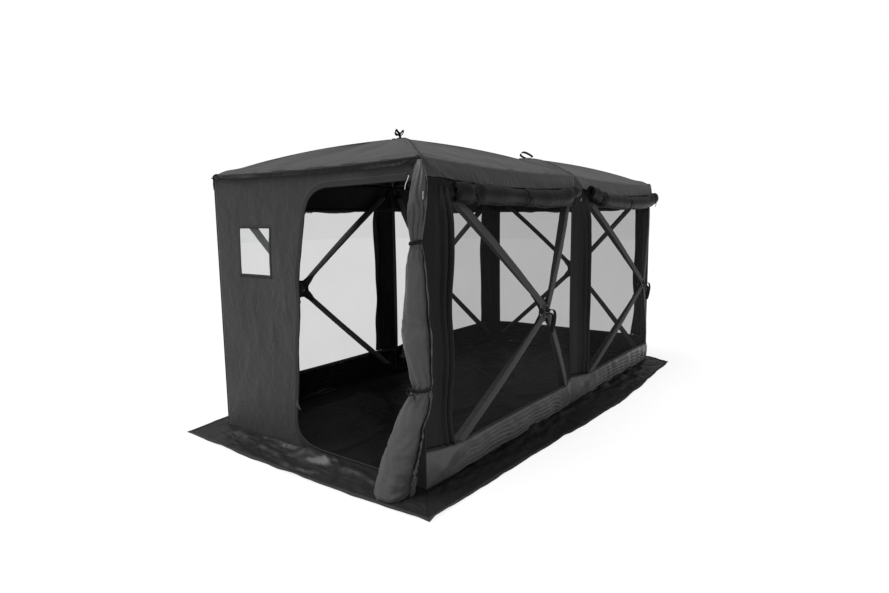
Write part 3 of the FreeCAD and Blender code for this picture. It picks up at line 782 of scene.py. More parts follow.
# Rolled covers ----
COVER_REACH = {"right_front": (-0.825, 0.93), "right_rear": (-0.84, 0.86)}
END_TIES, MIDDLE_TIE = (-0.66, 0.74), (-0.01,)     # shares of the panel's half width
COVER_TURNS = 4.5
COVER_DROP = 0.198                                 # of the roll's middle line, from the eave
COVER_RADIUS = 0.055
COVER_RISE = {"right_front": (0.008, 0.060), "right_rear": (0.080, 0.055), "left_front": (0.055, 0.010),
              "left_rear": (0.050, 0.070), "rear": (0.045, 0.050)}      # of the left and right ends


def pinch(u, ties, width):
    return sum(exp(-((u - tie * HALF) / width) ** 2) for tie in ties)


def cover_line(wall, u):
    """Middle, half height and half depth of the roll along the panel."""
    tied = pinch(u, END_TIES, 0.040) + 0.25 * pinch(u, MIDDLE_TIE, 0.022)
    share = u / HALF
    left, right = COVER_RISE[wall.name]
    taper = 1 - 0.26 * smooth(abs(share), 0.60, 0.95)
    half_height = (0.071 - 0.018 * tied) * taper
    half_depth = (0.054 - 0.012 * tied) * taper
    rise = left * smooth(-share, 0.45, 0.95) + right * smooth(share, 0.45, 0.95) - 0.006 * cos(pi * share / 2)
    v = HALF_WALL - COVER_DROP + rise - 0.006 * tied
    n = wall.surface(u, v) + half_depth + 0.010
    return v, n, half_height, half_depth


def rolled_cover(wall, seed):
    """The screen's cover, sewn under the valance, hangs down the wall and is rolled up on itself."""
    low, high = COVER_REACH.get(wall.name, (-0.86, 0.86))
    u = spaced(low * HALF, high * HALF, 0.014)[:, None]
    angle = linspace(0, 2 * pi * COVER_TURNS, int(26 * COVER_TURNS))[None, :]
    v0, n0, half_height, half_depth = cover_line(wall, u)
    shrink = 1 - 0.60 * (angle / angle.max()) ** 0.9
    lumps = field(seed, 0.26, 0.90, 12)
    fine = field(seed + 1, 0.07, 0.20, 16)
    dents = 0.0050 * lumps(u, COVER_RADIUS * cos(angle)) + 0.0035 * lumps(u + 5, COVER_RADIUS * sin(angle))
    dents = dents + 0.0007 * fine(u, 0.4 * COVER_RADIUS * angle)
    pleats = pinch(u, END_TIES, 0.090) + 0.5 * pinch(u, MIDDLE_TIE, 0.04)
    dents = dents + 0.0050 * pleats * gathers(10 * angle + 3 * lumps(u, 0 * u)) * shrink
    grow = 1 + dents / 0.06
    v = v0 - half_height * shrink * grow * sin(angle)
    n = n0 - half_depth * shrink * grow * cos(angle)
    share = linspace(0, 1, 7)[None, :-1]
    top = HALF_WALL - 0.055
    lead_v = top + (v[:, :1] - top) * share
    lead_n = wall.surface(np.broadcast_to(u, lead_v.shape), lead_v) + 0.0035
    lead_n = lead_n + (n[:, :1] - lead_n) * share ** 4
    v, n = concatenate([lead_v, v], axis=1), concatenate([lead_n, n], axis=1)
    u = np.broadcast_to(u, v.shape)
    girth = concatenate([[0], np.cumsum(hypot(np.diff(v[0]), np.diff(n[0])))])
    flat = grid(u, girth[None, :])
    piece = Piece().add(slump(wall.at(u, v, n)), flat, wall.weight(u, np.broadcast_to(v0, v.shape)))
    return piece.make(wall.name + "_rolled_cover", COVER_CLOTH, "cover_cloth", wall, thickness=0.001)


def crosswise(axis, hint):
    """Two directions across an axis, the first of them across a hint too."""
    other = cross(axis, hint)
    other /= norm(other)
    return other, cross(axis, other)


def capsule(piece, centre, axis, length, radius, travel=0.0):
    """A small rounded bar, such as a toggle."""
    axis = np.asarray(axis, float)
    other, third = crosswise(axis, (0.3, 0.5, 0.8))
    turn = linspace(0, 2 * pi, 11)[None, :]
    lean = linspace(-pi / 2, pi / 2, 9)[:, None]
    stretch = np.sign(lean) * length / 2 + radius * sin(lean)
    girth = radius * cos(lean) + 1e-5
    points = (np.asarray(centre, float) + stretch[..., None] * axis
              + (girth * cos(turn))[..., None] * other + (girth * sin(turn))[..., None] * third)
    piece.add(points, grid(stretch, turn * radius), travel)


def cover_ties(wall, seed):
    """Bands round the roll, each closed by a toggle, with a loose end below it."""
    rng = np.random.default_rng(seed)
    piece = Piece()
    turn = linspace(-0.25, 1.03, 50) * 2 * pi
    for tie in (END_TIES[0], *MIDDLE_TIE, END_TIES[1]):
        u = tie * HALF
        v0, n0, half_height, half_depth = (float(a) for a in cover_line(wall, array(u)))
        slack_band = 0.0022 + 0.0008 * turn / 6
        v = v0 + (half_height + slack_band) * sin(turn)
        n = n0 + (half_depth + slack_band) * cos(turn)
        lean = u + 0.006 * sin(turn + rng.uniform(0, 6))
        path = slump(wall.at(lean, v, n))
        travel = float(wall.weight(array(u), array(v0)))
        add_ribbon(piece, path, wall.u, 0.024, travel=travel, crown=0.0015)
        face = n0 + half_depth + 0.010
        capsule(piece, slump(wall.at(u, v0 + 0.01, face)), wall.v * 0.8 + wall.u * 0.6, 0.026, 0.0055, travel)
        hang = [(0.002, 0.004, face - 0.004), (0.008, -0.020, face + 0.004), (0.012, -0.048, face + 0.002),
                (0.010, -0.075, face - 0.006)]
        path = array([slump(wall.at(u + a, v0 + b, c)) for a, b, c in hang])
        add_ribbon(piece, through(path, 6), wall.u, 0.016, travel=travel)
    return piece.make(wall.name + "_cover_ties", WEBBING, "webbing", wall, thickness=0.0016)


# Walls ----
def hub_wall(wall, seed):
    net = screen(wall, seed)
    kick = kick_panel(wall, seed + 10)
    top_band = header(wall, seed + 20)
    flap = storm_flap(wall, seed + 30)
    strip = right_strip(wall)
    tapes = screen_tapes(wall)
    piping = kick_piping(wall)
    cover = rolled_cover(wall, seed + 40)
    ties = cover_ties(wall, seed + 50)
    strap_loop(wall, Z, wall.u, -0.012, HANGING)
    sleeves_and_patches(wall, seed + 60)
    return kick, flap, cover


# Roof ----
def roof_cloth(top, seed):
    """Four gores that meet on the ridges over the poles, with soft folds drawn between the corners."""
    piece = Piece()
    m = concatenate([linspace(0.033, 0.9, 38), linspace(0.92, 1.0, 7)])[:, None]
    t = sin(linspace(-pi / 2, pi / 2, 69))[None, :]
    swell = field(seed, 0.22, 0.75, 14, stretch=0.7)
    drag = field(seed + 1, 0.10, 0.30, 12)
    for sign in (-1, 1):
        for upright in (False, True):
            lead, side = sign * m + 0 * t, m * t
            u, v = (side, lead) if upright else (lead, side)
            u, v = u * top.half_u, v * top.half_v
            away = (1 - t ** 2) * sin(pi * clip(m, 0, 1)) ** 0.6
            near_eave = smooth(m, 0.70, 0.97)
            in_u, in_v = top.half_u - abs(u), top.half_v - abs(v)
            turn = arctan2(in_v + 0.01, in_u + 0.01)
            fan = exp(-((hypot(in_u, in_v) - 0.15) / 0.15) ** 2) * (1 - t ** 8) * smooth(1 - m, 0.0, 0.03)
            lift = 0.0070 * away * swell(u, v) + 0.0032 * near_eave * (1 - t ** 2) * drag(u, v)
            lift = lift + 0.0045 * fan * gathers(17 * turn + 2 * drag(u, v))
            piece.add(on_panel(top, u, v, lift), grid(u, v), top.weight(u, v), top.n)
    return piece.make(top.name + "_cloth", ROOF_CLOTH, "roof_cloth", top, weld=False, lining=INSIDE_PAINTED_SHADE)


def roof_seams(top):
    piece = Piece()
    r = linspace(0.06, 1.0, 44)
    for sign_u, sign_v in top.corners.values():
        line = grid(r * sign_u * top.half_u, r * sign_v * top.half_v)
        add_panel_tape(piece, top, line, 0.016, 0.0016)
    return piece.make(top.name + "_ridge_seams", ROOF_TAPE, "roof_cloth", top, thickness=0.0006, weld=False)


class FlatPanel(Panel):
    """The door wall: no hub, slightly bowed and full of the fold lines of its bag."""

    def surface(self, u, v):
        u, v = np.broadcast_arrays(u, v)
        away = 1 - self.share(u, v) ** 5
        line = v + HALF_WALL - 0.27 - 0.066 * (u + HALF)
        crease = 0.0045 * exp(-(line / 0.020) ** 2) * smooth(-u, 0.10, 0.25)
        folds = crease + 0.009 * FRONT_SWELL(u, v) + 0.0036 * FRONT_FOLDS(u, v)
        return away * (folds + 0.0018 * FRONT_CREASES(u, v))

    def weight(self, u, v):
        return 0.0 * (u + v)


FRONT_SWELL = field(3, 0.5, 1.3, 8)
FRONT_FOLDS = creases(4, 0.22, 0.6)
FRONT_CREASES = creases(5, 0.10, 0.25)
FRONT = FlatPanel("front", X, Z, MINUS_Y, (0, -HALF_LENGTH, HALF_WALL), HALF_WALL)


def valance(panel, name, low, high, drop, seed, ends, puckers, overhang=0.0):
    """Cloth over the eave and down it: starts on the roof, turns over the edge and hangs to a puckered hem."""
    u = spaced(low, high, 0.0125)[:, None]
    fall = linspace(0, 1, 15)[None, :]
    ripple = creases(seed, 0.05, 0.16)
    wave = field(seed + 1, 0.25, 0.8, 8)
    down = fall * drop(u)
    v = panel.half_v - 0.006 - down
    base = maximum(panel.surface(clip(u, -HALF, HALF), v), -0.002)
    folds = 0
    for end in ends:
        from_end = abs(u - end * HALF) + 0.012
        steep = arctan2(down + 0.01, from_end)
        fan = gathers(22 * steep + 2 * wave(u, 0 * u))
        folds = folds + 0.010 * fan * exp(-from_end / 0.24) * fall ** 0.6
    n = base + 0.007 + overhang * fall ** 0.7 + puckers * fall ** 1.2 * (0.5 + ripple(u, 0.3 * down))
    n = n + 0.006 * fall * wave(u, down) + folds
    n = maximum(n, base + 0.0085)
    v = v + 0.004 * fall ** 2 * ripple(u + 3, 0 * down)
    over = array([-0.034, -0.022, -0.010, 0.0])[None, :] + 0 * u
    rise = array([0.0112, 0.0080, 0.0045, -0.0005])[None, :] + 0 * u
    n = concatenate([over, n], axis=1)
    v = concatenate([panel.half_v + rise, v], axis=1)
    flat = grid(u, -concatenate([over - 0.01, down], axis=1))
    # The front valance takes the near-black flap cloth as painted shade: the dark line under the front eave.
    cloth = VALANCE_CLOTH if panel in WALLS else FLAP_AND_PAINTED_SHADE_CLOTH
    return Piece().add(slump(panel.at(u, v, n)), flat).make(name, cloth, "roof_cloth")


def side_drop(u):
    return 0.104 + 0.022 * (1 - (u / HALF) ** 2)


def front_drop(u):
    return 0.020 + 0.010 * (1 + u / HALF)


# Door wall ----
DOOR_LOW_LEFT, DOOR_HIGH_LEFT = -0.152, 0.0
DOOR_RIGHT, DOOR_SILL, DOOR_HEAD = 0.955, 0.045, 1.868
DOOR_LEFT_LOW, DOOR_LEFT_HIGH = 0.230, 1.670
DOOR_TOP_TURN, DOOR_SILL_TURN = 0.245, 0.090
DOOR_BAND = 0.048


def bend_through(start, corner, end, steps):
    t = linspace(0, 1, steps)[:, None]
    start, corner, end = (array(p, float) for p in (start, corner, end))
    return (1 - t) ** 2 * start + 2 * t * (1 - t) * corner + t ** 2 * end


def door_left_edge():
    """The zipped edge of the doorway from the sill up to the head, in x and height."""
    low = bend_through((DOOR_SILL_TURN, DOOR_SILL), (-0.170, DOOR_SILL + 0.005),
                       (DOOR_LOW_LEFT, DOOR_LEFT_LOW), 15)
    z = linspace(DOOR_LEFT_LOW, DOOR_LEFT_HIGH, 60)[1:-1]
    lean = (z - DOOR_LEFT_LOW) / (DOOR_LEFT_HIGH - DOOR_LEFT_LOW)
    wander = field(8, 0.25, 0.7, 6)(z, 0 * z) * 0.005 * sin(pi * lean)
    side = grid(DOOR_LOW_LEFT + lean * (DOOR_HIGH_LEFT - DOOR_LOW_LEFT) + wander, z)
    high = bend_through((DOOR_HIGH_LEFT, DOOR_LEFT_HIGH), (0.022, DOOR_HEAD - 0.002),
                        (DOOR_TOP_TURN, DOOR_HEAD), 17)
    edge = concatenate([low, side, high])
    z = np.sort(concatenate([edge[:, 1], [WINDOW_LOW.z, WINDOW_HIGH.z]]))
    return grid(np.interp(z, edge[:, 1], edge[:, 0]), z)


def offset_line(line, distance):
    """A line beside another one, to its left for a positive distance."""
    return line + distance * sideways(line)


def door_outline(edge):
    """The whole zip line: along the sill from the right, up the left edge and along the head."""
    sill_x = np.arange(DOOR_RIGHT, DOOR_SILL_TURN, -0.03)
    head_x = np.arange(DOOR_TOP_TURN + 0.03, DOOR_RIGHT, 0.03)
    return concatenate([grid(sill_x, 0 * sill_x + DOOR_SILL), edge, grid(head_x, 0 * head_x + DOOR_HEAD)])


def front_wall():
    edge = door_left_edge()
    rows = edge[:, 1]
    left = spaced(-HALF, WINDOW_LOW.x, 0.02)
    middle = spaced(WINDOW_LOW.x, WINDOW_HIGH.x, 0.02)
    share = linspace(0, 1, 26)
    right = spaced(DOOR_RIGHT, HALF, 0.0175)
    piece = Piece()

    def block(x, z):
        piece.add(on_panel(FRONT, x, z - HALF_WALL), grid(x, z), outward=FRONT.n)

    def block_of(columns, heights):
        block(*meshgrid(columns, heights))

    block_of(left, rows)
    block_of(middle, rows[rows <= WINDOW_LOW.z + 1e-6])
    block_of(middle, rows[rows >= WINDOW_HIGH.z - 1e-6])
    x = WINDOW_HIGH.x + share[None, :] * (edge[:, :1] - WINDOW_HIGH.x)
    block(x, np.broadcast_to(rows[:, None], x.shape))
    block_of(right, rows)
    for row, turn, heights in ((0, DOOR_SILL_TURN, spaced(0, DOOR_SILL, 0.015)),
                               (-1, DOOR_TOP_TURN, spaced(DOOR_HEAD, WALL, 0.022))):
        columns = concatenate([left, middle[1:], x[row, 1:], spaced(turn, DOOR_RIGHT, 0.02)[1:], right[1:]])
        block_of(columns, heights)
    wall = piece.make("door_wall_cloth", WALL_CLOTH, "wall_cloth", lining=INSIDE_PAINTED_SHADE)
    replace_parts(wall, "front_wall")

    above_floor = array([0, HALF_WALL])
    outline = door_outline(edge)
    piece = Piece()
    add_panel_tape(piece, FRONT, offset_line(outline, DOOR_BAND / 2) - above_floor, DOOR_BAND, 0.0028, 5)
    binding = piece.make("door_band", BAND_CLOTH, "wall_cloth", thickness=0.0016, weld=False)

    piece = Piece()
    for width, lift in ((0.012, 0.0042), (0.0045, 0.0062)):
        add_panel_tape(piece, FRONT, offset_line(outline, 0.004) - above_floor, width, lift)
    zip_tape = piece.make("door_zip_tape", SEAM_TAPE, "webbing", thickness=0.0012, weld=False)

    piece = Piece()
    low, high = WINDOW_LOW, WINDOW_HIGH
    corners = array([(low.x, low.z), (high.x, low.z), (high.x, high.z), (low.x, high.z), (low.x, low.z)])
    for a, b in zip(corners[:-1], corners[1:]):
        line = a + linspace(-0.03, 1.03, 24)[:, None] * (b - a)
        add_panel_tape(piece, FRONT, line - above_floor, 0.022, 0.0026)
    window_tape = piece.make("window_binding", BAND_CLOTH, "wall_cloth", thickness=0.0014, weld=False)

    x, z = meshgrid(spaced(low.x, high.x, 0.02), spaced(low.z, high.z, 0.02))
    dent = field(9, 0.12, 0.4, 8)
    piece = Piece().add(on_panel(FRONT, x, z - HALF_WALL, -0.002 + 0.0015 * dent(x, z)), grid(x, z))
    pane = piece.make("window_pane", FILM, "window_film", thickness=0)
    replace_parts(pane, "front_window")


def zip_flap():
    """The small folded tongue of cloth that covers the stop of the zip beside the sill."""
    x, z = -0.158, 0.345
    t = linspace(0, 1, 9)[:, None]
    s = linspace(-1, 1, 9)[None, :]
    width = 0.024 * (1 - 0.85 * t)
    u = x + 0.045 * t + width * s * 0.35
    v = z - HALF_WALL - 0.050 * t + width * s
    lift = 0.006 + 0.006 * t * (1 - 0.4 * s ** 2)
    Piece().add(on_panel(FRONT, u, v, lift), grid(u, v)).make(
        "zip_end_tongue", WALL_CLOTH, "wall_cloth", thickness=0.0014)


# Rolled door ----
# height, middle x, middle y, half width in x, half width in y
DOOR_ROLL = [(1.975, 1.034, -2.068, 0.012, 0.010), (1.93, 1.044, -2.082, 0.034, 0.026),
             (1.84, 1.058, -2.104, 0.042, 0.040), (1.70, 1.054, -2.124, 0.046, 0.050),
             (1.60, 1.043, -2.121, 0.038, 0.042), (1.51, 1.035, -2.116, 0.031, 0.034),
             (1.43, 1.038, -2.122, 0.046, 0.046), (1.26, 1.040, -2.130, 0.072, 0.062),
             (1.10, 1.036, -2.134, 0.090, 0.070), (0.98, 1.038, -2.136, 0.100, 0.074),
             (0.84, 1.054, -2.134, 0.086, 0.070), (0.73, 1.064, -2.130, 0.072, 0.060),
             (0.665, 1.066, -2.126, 0.058, 0.050), (0.56, 1.032, -2.136, 0.084, 0.064),
             (0.42, 0.984, -2.156, 0.104, 0.082), (0.24, 0.935, -2.184, 0.116, 0.106),
             (0.10, 0.912, -2.206, 0.118, 0.128), (0.012, 0.902, -2.220, 0.114, 0.142)]
DOOR_TIES = (1.51, 0.665)
DOOR_TURNS = 3.1
DOOR_START = 0.15          # angle of the door's free edge


def door_roll(seed):
    """The door, rolled lengthwise round itself: pinched by two ties, its foot opens over the skirt."""
    z = spaced(DOOR_ROLL[-1][0], DOOR_ROLL[0][0], 0.0105)[::-1, None]
    middle_x, middle_y, half_x, half_y = stations(z, DOOR_ROLL)
    angle = linspace(0, 2 * pi * DOOR_TURNS, 190)[None, :]
    shrink = 1 - 0.50 * (angle / angle.max()) ** 0.8
    lumps = field(seed, 0.12, 0.60, 14, stretch=0.8)
    small = field(seed + 1, 0.03, 0.12, 16)
    rings = creases(seed + 2, 0.06, 0.20)
    tied, tight = (sum(exp(-((z - tie) / width) ** 2) for tie in DOOR_TIES) for width in (0.10, 0.02))
    foot = smooth(0.60 - z, 0.0, 0.55)
    upper = smooth(z, 1.50, 1.62) * (1 - smooth(z, 1.88, 1.97))
    flutes = gathers(8 * angle + 2.5 * lumps(z, 0 * z))
    flutes = flutes * (0.0110 * tied * (1 - 0.6 * tight) + 0.0135 * upper + 0.002)
    flutes = flutes + 0.0050 * tied * gathers(17 * angle + 4 * lumps(z + 9, 0 * z))
    dents = 0.0085 * lumps(z, 0.09 * cos(angle)) + 0.0060 * lumps(z + 4, 0.09 * sin(angle))
    dents = dents + 0.0016 * small(z, 0.07 * angle) + 0.0095 * foot * rings(z, 0.03 * angle)
    seams = 0.0036 * sum(exp(-((z - seam) / 0.007) ** 2) for seam in (0.06, 0.37, 1.06))
    grow = 1 + (flutes + dents * (0.4 + 0.2 * foot) + seams) / 0.07
    x = middle_x + half_x * shrink * grow * cos(angle + DOOR_START)
    y = middle_y + half_y * shrink * grow * sin(angle + DOOR_START)
    height = maximum(z + 0.010 * foot * sin(2 * angle) * (z > 0.05), 0.010)
    points = grid(x, y, height)
    flat = grid(0.055 * angle, z)
    roll = Piece().add(points, flat).make("rolled_door", DOOR_CLOTH, "cover_cloth", thickness=0.001)
    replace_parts(roll, "door_roll")

    ties = Piece()
    turn = linspace(-0.2, 1.02, 44) * 2 * pi
    for tie in DOOR_TIES:
        mx, my, hx, hy = (float(a[0]) for a in stations(array([tie]), DOOR_ROLL))
        path = grid(mx + (hx + 0.006) * cos(turn), my + (hy + 0.006) * sin(turn),
                    tie + 0.005 * sin(turn + 1))
        add_ribbon(ties, path, (0, 0, 1), 0.020, crown=0.0012)
        lower = tie < 1
        facing = array([-0.35, -0.94, 0.0]) if lower else array([0.25, -0.97, 0.0])
        knot = array([mx, my, tie]) + facing * (hy + 0.012)
        if not lower:
            capsule(ties, knot, array([0.84, 0.30, 0.45]), 0.034, 0.006)
            continue
        for lean, size in (((0.85, 0.0, 0.53), 0.026), ((0.6, 0.1, -0.78), 0.022)):
            capsule(ties, knot, array(lean) / norm(lean), size, 0.006)
        loop = array([(0, 0, 0), (-0.024, -0.008, 0.010), (-0.034, -0.014, -0.010), (-0.014, -0.016, -0.026),
                      (0.012, -0.010, -0.020), (0.002, -0.002, 0.0), (0.018, -0.012, -0.016),
                      (0.030, -0.012, -0.044), (0.022, -0.010, -0.070)])
        add_ribbon(ties, knot + through(loop, 7), (0.25, 0.25, 0.93), 0.011)
    tie_piece = ties.make("door_ties", WEBBING, "webbing", thickness=0.0016)
    return tie_piece


# Floor and skirt ----
def floor_sheet():
    margin = 0.004         # past the walls' feet
    x, y = meshgrid(spaced(-HALF - margin, HALF + margin, 0.025),
                    spaced(-HALF_LENGTH - margin, HALF_LENGTH + margin, 0.025))
    swell = field(21, 0.30, 0.9, 14)
    folds = creases(22, 0.35, 1.1, stretch=0.6)
    small = creases(23, 0.12, 0.4)
    inside = minimum(HALF - abs(x), HALF_LENGTH - abs(y))
    away = smooth(inside, 0.0, 0.12)
    z = 0.002 + away * (0.010 + 0.005 * swell(x, y) + 0.012 * maximum(folds(x, y), -0.2) + 0.004 * small(x, y))
    ob = Piece().add(grid(x, y, maximum(z, 0.0012)), grid(x, y)).make("floor_sheet", FLOOR_CLOTH, "floor_cloth")
    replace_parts(ob, "floor")


# Of each strip: the ends of its seam, its outer edge, and where along the seam uprights draw it into folds
SKIRT = {
    "right": ((HALF, -HALF_LENGTH), (HALF, HALF_LENGTH),
              [(1.280, -2.340), (1.303, -1.500), (1.342, -0.680), (1.382, 0.100), (1.380, 0.700), (1.350, 1.300),
               (1.301, 1.985), (1.300, 2.010), (1.280, 2.025), (1.075, 2.175)], (0.0, 0.5, 1.0)),
    "left": ((-HALF, HALF_LENGTH), (-HALF, -HALF_LENGTH),
             [(-1.075, 2.175), (-1.272, 2.043), (-1.290, 2.030), (-1.292, 2.005), (-1.375, 1.05), (-1.410, 0.060),
              (-1.330, -1.15), (-1.140, -2.350)], (0.0, 0.5, 1.0)),
    "front": ((-HALF, -HALF_LENGTH), (HALF, -HALF_LENGTH),
              [(-1.140, -2.350), (-0.45, -2.378), (0.250, -2.385), (0.80, -2.368), (1.280, -2.340)], (0.0, 1.0)),
    "rear": ((HALF, HALF_LENGTH), (-HALF, HALF_LENGTH),
             [(1.075, 2.175), (0.60, 2.31), (0.0, 2.360), (-0.60, 2.31), (-1.075, 2.175)], (0.0, 1.0)),
}


def skirt_strip(name, seed):
    """Loose cloth sewn to a wall's foot: folds fan out of the corners, the edge curls, the mitres lie flat."""
    start, end, outer, corners = SKIRT[name]
    start, end = array(start), array(end)
    length = norm(end - start)
    s = linspace(0, 1, int(length / 0.016))[:, None]
    t = linspace(0, 1, SKIRT_COLUMNS)[None, :]
    curve = through(outer, 40)
    steps = lengths(curve)
    edge = np.stack([np.interp(s[:, 0] * steps[-1], steps, curve[:, k]) for k in (0, 1)], axis=-1)
    ragged = field(seed, 0.28, 0.95, 12)
    inner = start + s * (end - start)
    outward = edge - inner
    reach = norm(outward, axis=1)[:, None]
    place = s * length
    shorten = 1 - 0.008 * (1 + ragged(place, 0 * place)) * sin(pi * s) ** 0.3
    xy = inner[:, None] + outward[:, None] * (t * shorten)[..., None]
    distance = t * reach
    span = np.ones_like(s)
    for a, b in zip(corners[:-1], corners[1:]):
        inside = (s >= a) & (s <= b)
        span = np.where(inside, sin(pi * (s - a) / (b - a)), span)
    wander = field(seed + 1, 0.30, 1.0, 10)
    fan = distance / (0.030 + 0.16 * clip(span, 0, 1) ** 0.7) + 0.25 * wander(place, distance)
    ridge = (0.5 + 0.5 * cos(2 * pi * fan)) ** 2
    drawn = 0.024 * ridge * exp(-1.1 * fan) * smooth(distance, 0.0, 0.03) * (0.6 + span)
    across = field(seed + 2, 0.10, 0.40, 16, stretch=0.5)
    sharp = creases(seed + 3, 0.09, 0.34)
    rough = 0.0035 * across(place, distance) + 0.0062 * sharp(0.6 * place, 1.5 * distance)
    rough = rough * (1 - 0.7 * smooth(t, 0.70, 0.95))
    crest = 0.075 + 0.02 * ragged(place, 0 * distance)
    roll = 0.013 * (1 + 0.2 * ragged(place + 6, 0 * distance)) * exp(-((distance - crest) / 0.034) ** 2)
    from_end = minimum(s, 1 - s) * length
    rough = rough + roll * smooth(from_end, 0.05, 0.40)
    curl = smooth(t, 0.86, 1.0) * (0.010 * (0.5 + 0.5 * ragged(place + 3, 0 * place)) ** 2)
    near = smooth(distance, 0.0, 0.05)
    relief = smooth(from_end, 0.0, 0.05) * (drawn + near * rough + curl)
    z = 0.0025 + 0.004 * near + relief + 0.006 * (1 - smooth(distance, 0.0, 0.02))
    points = concatenate([xy, maximum(z, 0.0015)[..., None]], axis=-1)
    return points, grid(place, distance)


def skirts():
    piece, hem = Piece(), Piece()
    for number, name in enumerate(SKIRT):
        points, flat = skirt_strip(name, 30 + 5 * number)
        piece.add(points, flat + array([0, 3.0 * number]))
        edge = points[:, -HEM_COLUMNS:] + array([0, 0, 0.0022])
        along = flat[:, -HEM_COLUMNS:, 0]
        hem.add(edge, grid(along, linspace(0.0, 1.0, HEM_COLUMNS)))
    ob = piece.make("ground_skirt_cloth", SKIRT_CLOTH, "skirt_cloth", weld=False)
    band = hem.make("ground_skirt_hem", SKIRT_HEM, "skirt_cloth", thickness=0.0012, weld=False)
    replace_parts(ob, "ground_skirt")


# Pole pockets, rings and tags ----
POCKET_INSET, POCKET_LENGTH = 0.085, 0.085


def pockets():
    """A sewn cup for every pole tip, on a tab from the corner."""
    piece = Piece()
    turn = linspace(0, 2 * pi, 21)[None, :]
    for panel in WALLS + ROOFS:
        for corner in panel.corners.values():
            along, _ = corner_frame(panel, corner)
            direction = along[0] * panel.u + along[1] * panel.v
            side = cross(direction, panel.n)
            end = panel.centre + direction * (panel.diagonal - POCKET_INSET) - panel.n * TIP_DEPTH
            back = array([0.0, 0.0005, 0.003, 0.010, 0.030, 0.055, POCKET_LENGTH])[:, None]
            radius = array([0.001, 0.007, 0.012, 0.0150, 0.0180, 0.0215, 0.0245])[:, None]
            radius = radius * (1 + 0.03 * cos(3 * turn + end[0] * 9 + end[1] * 5))
            points = (end - back[..., None] * direction + (radius * cos(turn))[..., None] * side
                      + (radius * sin(turn))[..., None] * panel.n)
            piece.add(points, grid(turn * 0.02, back * 8))
            tab = linspace(-0.012, POCKET_INSET - 0.024, 6)[:, None]
            add_ribbon(piece, end + tab * direction + sin(tab * 40) * 0.001 * panel.n, side, 0.026)
    ob = piece.make("pole_pockets", WEBBING, "webbing", thickness=0.0018)
    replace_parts(ob, "corner_pockets")
    return ob


def torus(piece, centre, axis, radius, thick):
    axis = np.asarray(axis, float) / norm(axis)
    other, third = crosswise(axis, (0.2, 0.7, 0.4))
    around = linspace(0, 2 * pi, 33)[:, None]
    turn = linspace(0, 2 * pi, 11)[None, :]
    reach = radius + thick * cos(turn)
    points = (np.asarray(centre, float) + (reach * cos(around))[..., None] * other
              + (reach * sin(around))[..., None] * third + (thick * sin(turn) + 0 * around)[..., None] * axis)
    piece.add(points, grid(around * radius, turn * thick))


def hanging_rings():
    """A small ring on a tab under every hub, for a light or a cup hook."""
    for panel in WALLS + ROOFS:
        down = array([0, 0, -1.0]) if panel in WALLS else -panel.n
        piece = Piece()
        torus(piece, panel.centre + panel.n * (HUB_RISE - 0.028) + down * 0.018, panel.u, 0.011, 0.0017)
        piece.make(panel.name + "_hub_ring", RING_METAL, "zip_metal", panel.hub, thickness=0)


def small_trim():
    piece = Piece()
    loop = [(0.950, -2.064, 1.892), (0.955, -2.080, 1.868), (0.944, -2.086, 1.840), (0.930, -2.078, 1.812)]
    add_ribbon(piece, through(loop, 8), (0.80, -0.35, 0.2), 0.012)
    tag = [(1.119, -2.146, 1.792), (1.121, -2.150, 1.772), (1.120, -2.150, 1.748)]
    add_ribbon(piece, through(tag, 6), (0.80, -0.60, 0), 0.012)
    piece.make("pale_loop_and_tag", PALE_TAPE, "webbing", thickness=0.0012)
    piece = Piece()
    torus(piece, (1.062, 0.093, 1.792), (1, 0.2, 0), 0.013, 0.0020)
    piece.make("eave_ring", RING_METAL, "zip_metal", thickness=0)


# Building ----
for name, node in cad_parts.items():
    for mark, material in (("_pole_", POLE_GLASS), ("_hub", HUB_PLASTIC), ("door_zip_slider", ZIP_METAL)):
        if mark in name:
            for slot in node.material_slots:
                slot.material = material
walls = [hub_wall(wall, 100 + 97 * number) for number, wall in enumerate(WALLS)]
for ob, node in zip(walls[0], ("kick_and_header_panels", "wall_strips", "rolled_covers")):
    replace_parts(ob, node)
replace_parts(door_roll(700), "roll_ties")

pocket_piece = pockets()
corner_piping()
for number, top in enumerate(ROOFS):
    cloth = roof_cloth(top, 800 + 31 * number)
    seams = roof_seams(top)
    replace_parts(cloth, top.name)
    up, side, shape = ((Y, top.u, BOW), (MINUS_X, top.v, ARCH))[number]
    strap_loop(top, up, side, 0.004, shape, twist=1.0)
    sleeves_and_patches(top, 900 + 13 * number)

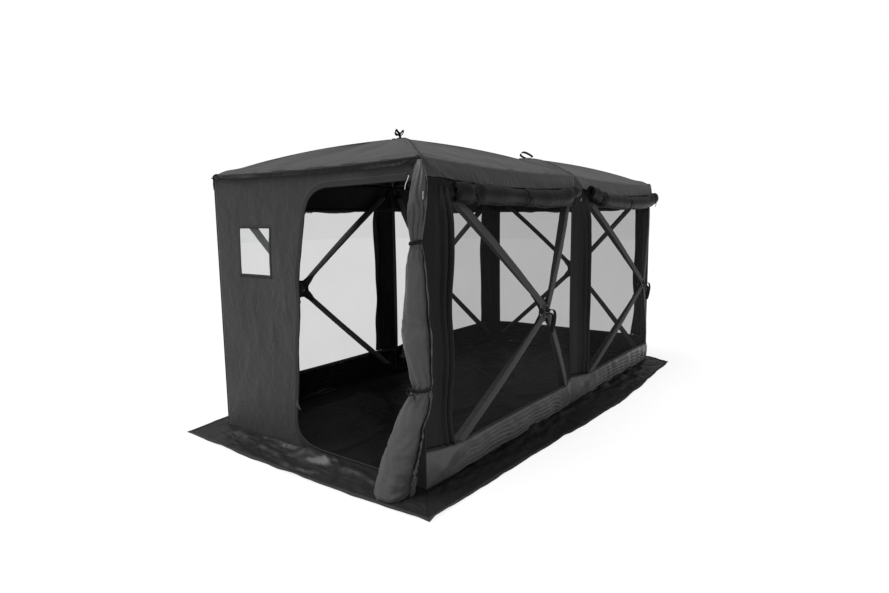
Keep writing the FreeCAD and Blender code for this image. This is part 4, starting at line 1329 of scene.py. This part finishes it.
for number, wall in enumerate(WALLS):
    outer_ends = [end for end in (-1, 1) if wall.name == "rear" or (wall.at(array(end * HALF), 0, 0)[1] != 0)]
    low = -HALF - (0.006 if -1 in outer_ends else 0.0)
    high = HALF + (0.006 if 1 in outer_ends else 0.0)
    hanging = valance(wall, wall.name + "_valance", low, high, side_drop, 950 + 7 * number, outer_ends, 0.004)
hanging = valance(FRONT, "front_valance", -HALF - 0.004, HALF + 0.004, front_drop, 990, (-1, 1), 0.0045,
                  overhang=0.008)
front_wall()
zip_flap()
floor_sheet()
skirts()
hanging_rings()
small_trim()


# Stage and light ----
def stage_floor():
    """A white floor that glows a little, as a lit sweep does, so that shadows on it stay faint."""
    mesh = bpy.data.meshes.new("stage_floor")
    corners = [(40.0 * x, 40.0 * y, 0) for x, y in ((-1, -1), (1, -1), (1, 1), (-1, 1))]
    mesh.from_pydata(corners, [], [(0, 1, 2, 3)])
    ob = bpy.data.objects.new("stage_floor", mesh)
    bpy.context.scene.collection.objects.link(ob)
    shader = new_shader("stage_white")
    mesh.materials.append(shader.done(shader.principled({
        "Base Color": (0.13, 0.13, 0.13, 1), "Roughness": 0.9, "Specular IOR Level": 0.0,
        "Emission Color": (1, 1, 1, 1), "Emission Strength": 0.86})))


def sun_light(name, toward, spread, power):
    """Soft light from a direction, the same over the whole floor; spread is in degrees."""
    data = bpy.data.lights.new(name, "SUN")
    data.angle = math.radians(spread)
    data.energy = power
    ob = bpy.data.objects.new(name, data)
    bpy.context.scene.collection.objects.link(ob)
    ob.rotation_mode = "QUATERNION"
    ob.rotation_quaternion = Vector(toward).to_track_quat("Z", "Y")


def world_light(seen, given):
    """A white backdrop for the camera that lights the scene less than it shows."""
    shader = Shader(bpy.data.worlds.new("studio"))
    seen_directly = shader.add("LightPath", {}).outputs["Is Camera Ray"]
    strength = shader.scaled(seen_directly, seen - given, given)
    back = shader.add("Background", {"Color": (1, 1, 1, 1), "Strength": strength})
    bpy.context.scene.world = shader.done(back.outputs["Background"], "OutputWorld")


stage_floor()
world_light(1.0, 0.27)
sun_light("overhead", (-0.25, -0.35, 1.0), 36, 3.8)
sun_light("beside_camera", (0.80, -0.75, 0.62), 18, 1.2)
bpy.context.scene.view_settings.view_transform = "Standard"
